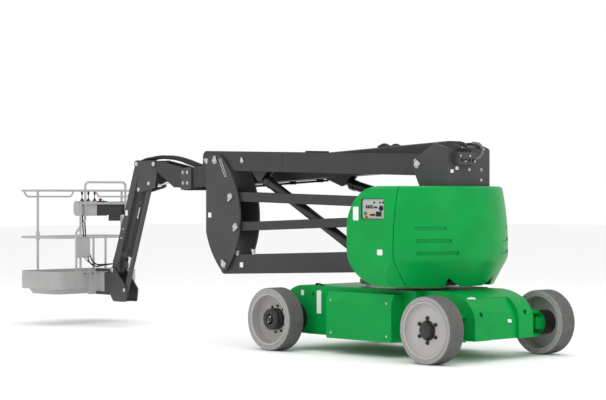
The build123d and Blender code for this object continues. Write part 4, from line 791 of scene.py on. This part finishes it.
# ---- pins, keepers, pivots
def pivot(name, body, x, y, z, facing, radius=0.027, proud=0.014, keeper=0.0, size=1.0):
    """Plated pin end over the solid pin, with a bolted keeper plate beside it."""
    out = Vector(facing)
    base = Vector((x, y, z))
    bm = bmesh.new()
    r = radius
    pin_end = (
        (r + 0.008, 0.0),
        (r + 0.0075, 0.003),
        (r + 0.001, 0.0035),
        (r + 0.0006, proud - 0.002),
        (r - 0.0015, proud + 0.0006),
        (r * 0.45, proud + 0.0008),
        (r * 0.4, proud + 0.0002),
        (0.0, proud + 0.0002),
    )
    lathe(bm, base, out, pin_end, 36)
    lean = Vector((cos(keeper), 0, sin(keeper)))
    tall = out.cross(lean)
    spread = tall * (0.031 * size)
    middle = base + lean * (r * 0.9)
    plate = rounded(0.03 * size, 0.086 * size, 0.012 * size, 4)
    slab(bm, middle + out * (proud - 0.004), lean, tall, plate, 0.005)
    for sign in (1, -1):
        lathe(bm, middle + spread * sign, out, ((0.009, 0.0), (0.009, proud - 0.003)), 14)
    from_bmesh(name, bm, body, zinc, 30)
    places = [(middle + spread * sign + out * (proud + 0.001), out) for sign in (1, -1)]
    fasten(name + "_bolts", body, HEX, 0.018 * size, places, zinc)


KNUCKLE_PINS = (
    (-2.456, 1.838, 0.4),
    (-2.218, 1.469, -0.9),
    (-2.135, 1.162, -0.9),
    (-2.315, 0.772, 1.0),
)
for i, (x, z, lean) in enumerate(KNUCKLE_PINS):
    pivot(f"knuckle_pin_{i}", "knuckle", x, -PLATE_Y, z, NEAR, keeper=lean)
pivot("head_arm_pin", "rear_head", 0.384, -PLATE_Y, 1.764, NEAR, keeper=1.0)
pivot("head_boom_pin_far", "rear_head", 0.64, PLATE_Y, 1.897, FAR, keeper=-2.0)


STICKER_GAP = 0.0002
STICKER_T = 0.0008
STICKER_EDGE = 0.0003


def seat(nodes, start, direction):
    """Where a ray first meets one of these CAD pieces, and which way the surface faces there."""
    best = None
    for name in nodes:
        mesh = NODES[name].data
        faces = [tuple(p.vertices) for p in mesh.polygons]
        tree = BVHTree.FromPolygons([v.co for v in mesh.vertices], faces)
        place, normal, _, distance = tree.ray_cast(Vector(start), Vector(direction))
        if place is not None and (best is None or distance < best[2]):
            best = (place, normal, distance)
    if best is None:
        raise ValueError(f"no surface of {nodes} from {start}")
    place, normal, _ = best
    return place, (normal if normal.dot(Vector(direction)) < 0 else -normal)


def lie_flat(nodes, start, direction):
    """Place just proud of a surface, with the level and rising directions along it."""
    place, normal = seat(nodes, start, direction)
    level = Vector(UP).cross(normal).normalized()
    return place + normal * STICKER_GAP, level, normal.cross(level)


def sticker(name, body, nodes, start, direction, width, height):
    """Blank sticker with rounded corners, laid on whatever surface lies along the ray."""
    place, level, rise = lie_flat(nodes, start, direction)
    corner = min(width, height) * 0.12
    bm = bmesh.new()
    slab(bm, place, level, rise, rounded(width, height, corner, 3), STICKER_T, STICKER_EDGE)
    return from_bmesh(name, bm, body, white_vinyl)


def bolted(name, body, nodes, starts, direction, size, kind=HEX):
    """Plated heads seated on the surfaces that lie along parallel rays."""
    places = [seat(nodes, start, direction) for start in starts]
    fasten(name, body, kind, size, places, zinc)


# ---- riser fittings
SMALL = 0.7
for i, (x, z) in enumerate(((-2.138, 0.892), (-1.888, 0.909))):
    look = {"radius": 0.019, "proud": 0.01, "keeper": 1.4, "size": SMALL}
    pivot(f"lower_arm_stop_{i}", "lower_arm", x, -ARM_Y, z, NEAR, **look)
look = {"radius": 0.02, "proud": 0.012, "keeper": 1.6, "size": SMALL}
pivot("arm_stroke_pin", "knuckle", -2.584, -PLATE_Y, 1.835, NEAR, **look)
look = {"radius": 0.017, "proud": 0.01, "keeper": 0.5, "size": SMALL}
pivot("upper_arm_bracket", "upper_arm", -2.067, -ARM_Y, 1.834, NEAR, **look)
for i, (body, x, z) in enumerate((("knuckle", -2.533, 1.277), ("lower_arm", -2.073, 0.773))):
    start = (x, -OUTSIDE, z)
    sticker(f"knuckle_sticker_{i}", body, ["knuckle_plates", "lower_arm"], start, FAR, 0.05, 0.05)
bm = bmesh.new()
for shift in (0.0, 0.028):
    place = (-2.335 + shift, 0.001 - PLATE_Y, 1.762)
    slab(bm, place, (1, 0, -1.92), (1.92, 0, 1), rounded(0.215, 0.009, 0.004), 0.009, 0.003)
from_bmesh("knuckle_grab_ribs", bm, "knuckle", zinc)
WELD_RUN = Vector((-0.06, 0, -1))
place, normal = seat(["upper_arm"], (-1.473, -OUTSIDE, 1.807), FAR)
bm = bmesh.new()
slab(bm, place, WELD_RUN, normal.cross(WELD_RUN), rounded(0.186, 0.008, 0.0035), 0.0022, 0.0015)
from_bmesh("upper_arm_weld", bm, "upper_arm", arm_paint)
bm = bmesh.new()
for k in range(3):
    place, _ = seat(["upper_arm"], (-1.17 + 0.09 * k, -0.15, ABOVE), DOWN)
    block(bm, place + Vector((-0.028, -0.05, -0.001)), place + Vector((0.028, 0.05, 0.014)), 0.004)
from_bmesh("upper_arm_rest_pads", bm, "upper_arm", black_plastic)

# ---- boom fittings
COLLAR = ((-3.39, 1.776), (-3.21, 1.774), (-3.211, 1.554), (-3.38, 1.538))
COLLAR_Y = 0.0485
COLLAR_T = 0.0205
middle = (sum(p[0] for p in COLLAR) / 4, sum(p[1] for p in COLLAR) / 4)
bm = bmesh.new()
for hand in (-1, 1):
    outline = [(hand * (middle[0] - x), z - middle[1]) for x, z in COLLAR][::hand]
    place = (middle[0], BOOM_Y + hand * (BOOM_Y - COLLAR_Y), middle[1])
    slab(bm, place, (-hand, 0, 0), UP, outline, COLLAR_T, 0.002)
from_bmesh("boom_collar_plates", bm, "boom_inner", jib_paint)
collar_bolts = ((-3.345, 1.727), (-3.273, 1.727), (-3.34, 1.614), (-3.27, 1.614))
places = [((x, COLLAR_Y - COLLAR_T, z), NEAR) for x, z in collar_bolts]
places += [((x, 2 * BOOM_Y - COLLAR_Y + COLLAR_T, z), FAR) for x, z in collar_bolts]
fasten("boom_collar_bolts", "boom_inner", HEX, 0.028, places, zinc)
bm = bmesh.new()
under, _ = seat(["boom_inner"], (-3.23, BOOM_Y, UNDER_BOOM_Z), UP)
for k in range(4):
    x = -3.387 + 0.08 * k
    block(bm, (x, 0.07, under.z - 0.028), (x + 0.07, 0.21, under.z + 0.004), 0.005)
from_bmesh("boom_collar_pads", bm, "boom_inner", black_plastic)

# The hoses over the nose bend between these two places
BEND_FROM_X = -3.66
BEND_TO_X = -4.06
for i, y in enumerate((0.075, 0.115, 0.165, 0.205)):
    rise = 0.012 * (i % 2)
    route = [(-3.02, y, 1.80), (-3.2, y, 1.802), (-3.3, y, 1.822), (-3.45, y, 1.862)]
    route += [(BEND_FROM_X, y, 1.888 + rise), (-3.88, y, 1.893 + rise)]
    route += [(-4.04, y, 1.88), (-4.16, y + 0.005, 1.848)]
    bends = ("boom_inner", "jib_head", (BEND_FROM_X, y, 1.88), (BEND_TO_X, y, 1.88))
    hose(f"nose_hose_{i}", bends, route, 0.0125, pitch=0.034, ribs=0.0034)

bm = bmesh.new()
top, _ = seat(["boom_outer"], (-0.364, 0.1, ABOVE), DOWN)
for y in (0.055, 0.215):
    outline = [(-0.09, -0.004), (0.09, -0.004), (0.09, 0.01)]
    outline += [(0.02, 0.036), (-0.02, 0.036), (-0.09, 0.01)]
    slab(bm, (-0.364, y + 0.006, top.z), AHEAD, UP, outline, 0.008, 0.0015)
from_bmesh("boom_cable_bracket", bm, "boom_outer", arm_paint)

bm = bmesh.new()
for x in (-2.6, -2.2, -1.8, -1.4):
    low, _ = seat(["boom_outer"], (x, 0.205, UNDER_BOOM_Z), UP)
    block(bm, (x - 0.018, 0.165, low.z - 0.03), (x + 0.018, 0.235, low.z + 0.003), 0.004)
from_bmesh("boom_hose_clamps", bm, "boom_outer", black_plastic)
for i, y in enumerate((0.188, 0.218)):
    route = []
    for x in (-2.75, -2.3, -1.85, -1.45, -1.3):
        route.append(seat(["boom_outer"], (x, y, UNDER_BOOM_Z), UP)[0] + Vector((0, 0, -0.016)))
    hose(f"boom_hose_{i}", "boom_outer", route, 0.010)

# ---- rear head fittings
head_bolts = ((0.001, 1.717), (0.168, 1.718), (0.168, 1.62), (-0.09, 1.905), (0.2, 1.905))
starts = [(OUTSIDE, y, z) for y, z in head_bolts]
bolted("head_back_bolts", "rear_head", ["rear_head"], starts, ASTERN, 0.024)
for i, (y, z) in enumerate(((-0.164, 1.729), (-0.232, 1.701))):
    sticker(f"head_sticker_{i}", "rear_head", ["rear_head"], (OUTSIDE, y, z), ASTERN, 0.04, 0.03)
loop = [(0.768, 0.042, 1.962), (0.80, 0.098, 1.948), (0.815, 0.128, 1.898)]
loop += [(0.822, 0.085, 1.835), (0.81, -0.02, 1.806)]
hose("head_sleeved_loop", "rear_head", loop, 0.012, grey_hose, pitch=0.009, ribs=0.0016)
for i in range(3):
    y = -0.16 + 0.05 * i
    route = [(0.745, y, 1.90), (0.80, y, 1.905), (0.822, y + 0.01, 1.89), (0.815, y + 0.012, 1.868)]
    hose(f"valve_hose_{i}", "rear_head", route, 0.008)
places = [((0.83, -0.19 + 0.064 * k, 1.84 - 0.05 * (k % 2)), AHEAD) for k in range(4)]
fasten("valve_box_screws", "rear_head", HEX, 0.016, places, zinc)
bm = bmesh.new()
valve_cap = ((0.014, 0), (0.013, 0.006), (0.008, 0.008), (0.0, 0.008))
for k in range(4):
    lathe(bm, (0.829, -0.17 + 0.05 * k, 1.80), AHEAD, valve_cap, 16)
from_bmesh("valve_caps", bm, "rear_head", black_plastic)

# ---- turret and covers
PANEL_Y = seat(["ground_control_box"], (0.29, -OUTSIDE, 1.36), FAR)[0].y
PANEL_SINK = 0.001


def on_panel(bm, x, z, width, height, thick, radius=0.003):
    """Flat key or plate on the control panel."""
    slab(bm, (x, PANEL_Y, z), AHEAD, UP, rounded(width, height, radius, 3), thick, 0.0008)


def turned_on_panel(bm, x, z, profile, sides=28):
    """Round part whose foot is sunk in the control panel."""
    lathe(bm, (x, PANEL_Y - PANEL_SINK, z), NEAR, profile, sides)


def panel_knob(name, x, z, radius, finish):
    skirt = ((radius, 0), (radius * 0.98, 0.004), (radius * 0.72, 0.006))
    grip = ((radius * 0.7, 0.013), (radius * 0.55, 0.0145), (0.0, 0.0142))
    bm = bmesh.new()
    turned_on_panel(bm, x, z, skirt + grip)
    return from_bmesh(name, bm, "turntable", finish)


bm = bmesh.new()
on_panel(bm, 0.289, 1.357, 0.252, 0.158, 0.0015, 0.012)
from_bmesh("panel_face", bm, "turntable", platform_paint)
bm = bmesh.new()
for x in (0.302, 0.375, 0.412):
    toggle = ((0.009, 0), (0.008, 0.005), (0.004, 0.006), (0.0035, 0.014), (0, 0.015))
    turned_on_panel(bm, x, 1.416, toggle, 14)
for k in range(4):
    on_panel(bm, 0.205 + 0.0225 * k, 1.377, 0.009, 0.03, 0.009)
for k in range(3):
    on_panel(bm, 0.298 + 0.018 * k, 1.372, 0.012, 0.016, 0.006)
for k in range(4):
    on_panel(bm, 0.258 + 0.016 * k, 1.304, 0.011, 0.018, 0.006)
on_panel(bm, 0.357, 1.312, 0.07, 0.044, 0.004)
from_bmesh("panel_switches", bm, "turntable", black_plastic)
panel_knob("panel_key_knob", 0.387, 1.364, 0.025, black_plastic)
panel_knob("panel_green_knob", 0.192, 1.318, 0.017, green_plastic)
panel_knob("panel_stop_knob", 0.205, 1.284, 0.012, red_plastic)
bm = bmesh.new()
turned_on_panel(bm, 0.234, 1.32, ((0.022, 0), (0.021, 0.003), (0.014, 0.004), (0.013, 0)))
from_bmesh("panel_stop_ring", bm, "turntable", amber_plastic)

COVERS = ["hood_right", "hood_left", "front_cover", "tail_counterweight", "ground_control_box"]
sticker("cover_sticker_edge", "hood_right", COVERS, (0.078, -OUTSIDE, 1.315), FAR, 0.07, 0.125)
sticker("cover_sticker_low", "hood_right", COVERS, (0.382, -OUTSIDE, 0.967), FAR, 0.066, 0.05)

# ---- chassis
BOXES = ["battery_box_left", "battery_box_right", "chassis_frame"]
strips = ((-0.692, 0.464, 0.06, 0.22), (-0.542, 0.404, 0.07, 0.1), (-0.92, 0.545, 0.04, 0.05))
for i, (x, z, width, height) in enumerate(strips):
    sticker(f"chassis_strip_{i}", "chassis", BOXES, (x, -OUTSIDE, z), FAR, width, height)
for hand, look in ((-1, FAR), (1, NEAR)):
    where = "right" if hand < 0 else "left"
    corners = [(x, OUTSIDE * hand, z) for x in (-0.37, 0.35) for z in (0.2, 0.5)]
    bolted(f"box_bolts_{where}", "chassis", BOXES, corners, look, 0.024, DOME)

loop = [(-0.80, -0.42, 0.612), (-0.77, -0.46, 0.631)]
loop += [(-0.70, -0.475, 0.632), (-0.65, -0.46, 0.612)]
hose("chassis_loop", "chassis", loop, 0.009)


# Plain arrow for the direction of travel, drawn for a length of 1
ARROW = ((-0.5, -0.12), (0.1, -0.12), (0.1, -0.3), (0.5, 0), (0.1, 0.3), (0.1, 0.12), (-0.5, 0.12))
ARROW_SIZE = 0.11
NOSE = ["chassis_frame", "front_cover"]
place, level, rise = lie_flat(NOSE, (OUTSIDE, -0.283, 0.56), ASTERN)
bm = bmesh.new()
outline = [(a * ARROW_SIZE, b * ARROW_SIZE) for a, b in ARROW]
slab(bm, place, level, rise, outline, STICKER_T, STICKER_EDGE)
from_bmesh("travel_arrow", bm, "chassis", white_vinyl)
sticker("nose_sticker", "chassis", NOSE, (OUTSIDE, 0.102, 0.348), ASTERN, 0.05, 0.03)

# ---- jib fittings


def pin_caps(name, body, nodes, places):
    """Plated end over each cross pin, on both sides of the machine."""
    bm = bmesh.new()
    for x, z, r in places:
        cap = ((r, -0.002), (r, 0.0015), (r - 0.002, 0.0035), (r * 0.4, 0.0035), (0.0, 0.003))
        washer = ((r + 0.002, -0.001), (r + 0.002, 0.0006), (r, 0.001), (r, -0.001))
        for hand, look in ((-1, FAR), (1, NEAR)):
            place, _ = seat(nodes, (x, OUTSIDE * hand, z), look)
            out = -Vector(look)
            lathe(bm, place, out, cap, 28)
            lathe(bm, place, out, washer, 28)
    return from_bmesh(name, bm, body, zinc)


pin_caps("nose_pin_caps", "boom_inner", ["boom_inner"], [(-3.852, 1.824, 0.024)])
pins = [(-4.19, 1.83, 0.024), (-3.97, 1.612, 0.02), (-4.15, 1.545, 0.02)]
pin_caps("jib_head_pin_caps", "jib_head", ["jib_head"], pins)
pin_caps("jib_foot_pin_caps", "jib_foot", ["jib_foot"], [(-4.62, 0.635, 0.024), (-4.4, 0.417, 0.02)])
sticker("jib_sticker", "jib_beam", ["jib_beam"], (-4.396, -OUTSIDE, 1.282), FAR, 0.04, 0.06)
starts = [(-4.455, -OUTSIDE, 1.1), (-4.49, -OUTSIDE, 1.0)]
bolted("jib_beam_bolts", "jib_beam", ["jib_beam"], starts, FAR, 0.018)
place, _ = seat(["jib_cylinder_barrel"], (-4.249, -OUTSIDE, 1.28), FAR)
bm = bmesh.new()
valve = ((0.013, -0.07), (0.014, -0.06), (0.014, 0.06), (0.0, 0.07))
lathe(bm, place + Vector((0, 0.01, 0)), (-0.34, 0, -1), valve, 18)
from_bmesh("jib_cylinder_valve", bm, "jib_barrel", zinc)
steps = ((0.022, 0.008, 0.06), (0.035, 0.006, 0.11), (0.05, 0.01, 0.16), (0.07, 0.03, 0.2))
pipe = [place + Vector(step) for step in steps]
hose("jib_cylinder_pipe", "jib_barrel", pipe, 0.006, zinc)
for i, y in enumerate((0.11, 0.17)):
    route = [(-4.2, y, 1.74), (-4.3, y, 1.52), (-4.42, y, 1.2), (-4.55, y, 0.86), (-4.62, y, 0.7)]
    lifted = [Vector(p) + Vector((-0.052, 0, 0.02)) for p in route[1:]]
    hose(f"jib_hose_{i}", "jib_beam", lifted, 0.011, pitch=0.02, ribs=0.0015)

# ---- platform fittings
DECK_FLOOR = seat(["platform_deck"], (-5.4, BOOM_Y, 1.0), DOWN)[0].z
LUG_PITCH = 0.036
LUG_TURN = 0.8
lug = rounded(0.024, 0.006, 0.0025, 2)
bm = bmesh.new()
for row in range(16):
    for col in range(31):
        x = -5.66 + LUG_PITCH * row + (LUG_PITCH / 2 if col % 2 else 0.0)
        y = -0.40 + LUG_PITCH * col
        turn = LUG_TURN if (row + col) % 2 else -LUG_TURN
        along = Vector((cos(turn), sin(turn), 0))
        slab(bm, (x, y, DECK_FLOOR - 0.0004), along, Vector(UP).cross(along), lug, 0.002, 0.0009)
from_bmesh("floor_tread_lugs", bm, "platform", platform_paint)
sticker("toe_board_sticker", "platform", ["platform_deck"], (-5.66, -OUTSIDE, 0.53), FAR, 0.045, 0.045)
bm = bmesh.new()
place, _ = seat(["platform_rotator", "platform_deck"], (-4, 0.0, 0.5), ASTERN)
ARCH_R = 0.05
BEAD_R = 0.004
arch = [(ARCH_R * cos(pi * k / 12), ARCH_R * sin(pi * k / 12)) for k in range(13)]
for (a0, b0), (a1, b1) in zip(arch, arch[1:]):
    first = place + Vector((0.0, a0, b0))
    last = place + Vector((0.0, a1, b1))
    lathe(bm, first, last - first, ((BEAD_R, 0), (BEAD_R, (last - first).length)), 8)
for hand in (-1, 1):
    foot = place + Vector((0, ARCH_R * hand, -ARCH_R))
    lathe(bm, foot, UP, ((BEAD_R, 0), (BEAD_R, ARCH_R)), 8)
from_bmesh("panel_arch_bead", bm, "platform", platform_paint)
holes = [(place + Vector((0, 0.055 * hand, 0.085)), AHEAD) for hand in (-1, 1)]
fasten("panel_plugs", "platform", DOME, 0.02, holes, black_plastic)

BOOT = ((0.024, -0.002), (0.022, 0.006), (0.017, 0.01), (0.018, 0.014))
BOOT += ((0.012, 0.019), (0.012, 0.023), (0.007, 0.03))
LEVER = ((0.005, 0.02), (0.005, 0.07), (0.011, 0.075), (0.0125, 0.095), (0.01, 0.11), (0.0, 0.112))
TOGGLE = ((0.008, -0.002), (0.008, 0.004), (0.003, 0.005), (0.0028, 0.018), (0.0, 0.019))
STOP = ((0.012, -0.002), (0.011, 0.012), (0.02, 0.014), (0.021, 0.022), (0.015, 0.03), (0.0, 0.032))
LEVER_X = -5.08
TOGGLE_X = -5.05
STOP_X = -5.09
bm = bmesh.new()
for y in (-0.03, 0.06, 0.15):
    base = seat(["platform_console"], (LEVER_X, y, ABOVE), DOWN)[0]
    lathe(bm, base, UP, BOOT, 22)
    lathe(bm, base, UP, LEVER, 18)
for y in (-0.065, 0.015, 0.105, 0.195, 0.225, 0.255):
    base = seat(["platform_console"], (TOGGLE_X, y, ABOVE), DOWN)[0]
    lathe(bm, base, UP, TOGGLE, 14)
from_bmesh("console_levers", bm, "platform", black_plastic)
base = seat(["platform_console"], (STOP_X, 0.24, ABOVE), DOWN)[0]
bm = bmesh.new()
lathe(bm, base, UP, STOP, 26)
from_bmesh("console_stop_button", bm, "platform", red_plastic)

cable = [(-5.03, -0.06, 1.25), (-5.02, -0.065, 1.16), (-5.018, -0.06, 1.08), (-5.02, -0.055, 1.0)]
for i in range(2):
    route = [(x, y + 0.03 * i, z) for x, y, z in cable]
    hose(f"console_cable_{i}", "platform", route, 0.008)
for i, (y, sag) in enumerate(((-0.05, 0.0), (0.0, 0.03), (0.04, 0.015))):
    route = [(-5.02, y, 0.80), (-4.99, y + 0.01, 0.745 - sag), (-4.92, y + 0.04, 0.70 - sag)]
    route += [(-4.83, y + 0.06, 0.695 - sag / 2), (-4.75, 0.12 + 0.02 * i, 0.70)]
    hose(f"foot_hose_{i}", "platform", route, 0.008 if i else 0.005)

# The templates have done their work and aren't part of the machine
for kind in (HEX, DOME, NUT):
    bpy.data.objects.remove(kind)

# ---- stage
FLOOR_REACH = 60
LENS_MM = 107.7
SENSOR_MM = 36.0
CAMERA_PLACE = (11.72, -12.54, 1.484)
CAMERA_AIM = (-0.7239, 0.6899, 0.0)
CAMERA_SHIFT = -0.00825083
CAMERA_REACH = 400

floor_mesh = bpy.data.meshes.new("floor")
corners = [(a * FLOOR_REACH, b * FLOOR_REACH, 0) for a, b in ((-1, -1), (1, -1), (1, 1), (-1, 1))]
floor_mesh.from_pydata(corners, [], [(0, 1, 2, 3)])
floor = bpy.data.objects.new("floor", floor_mesh)
bpy.context.collection.objects.link(floor)
pale = Finish("pale_floor", (0.93, 0.93, 0.93), 0.9, specular=0.1)
floor_mesh.materials.append(pale.material)
floor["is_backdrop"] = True

world = bpy.data.worlds.new("studio")
bpy.context.scene.world = world
world.use_nodes = True
world.node_tree.nodes["Background"].inputs["Color"].default_value = (1, 1, 1, 1)
world.node_tree.nodes["Background"].inputs["Strength"].default_value = 1.0


def softbox(name, place, aim, size, power):
    light = bpy.data.lights.new(name, "AREA")
    light.shape = "RECTANGLE"
    light.size, light.size_y = size
    light.energy = power
    made = bpy.data.objects.new(name, light)
    bpy.context.collection.objects.link(made)
    made.location = place
    made.rotation_euler = (Vector(aim) - Vector(place)).to_track_quat("-Z", "Y").to_euler()


softbox("key_light", (2.0, -9.0, 8.0), (-1.5, 0, 1.0), (8, 5), 260)
softbox("fill_light", (9.0, -1.0, 5.0), (0, 0, 1.0), (5, 5), 90)
softbox("top_light", (-2.0, 1.0, 9.0), (-2.0, 0, 0), (10, 5), 260)

camera_data = bpy.data.cameras.new("camera")
camera = bpy.data.objects.new("camera", camera_data)
bpy.context.collection.objects.link(camera)
camera_data.sensor_width = SENSOR_MM
camera_data.lens = LENS_MM
camera_data.clip_end = CAMERA_REACH
camera.location = CAMERA_PLACE
camera.rotation_euler = Vector(CAMERA_AIM).to_track_quat("-Z", "Y").to_euler()
camera_data.shift_y = CAMERA_SHIFT
bpy.context.scene.camera = camera
bpy.context.scene.view_settings.view_transform = "Standard"

low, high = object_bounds()
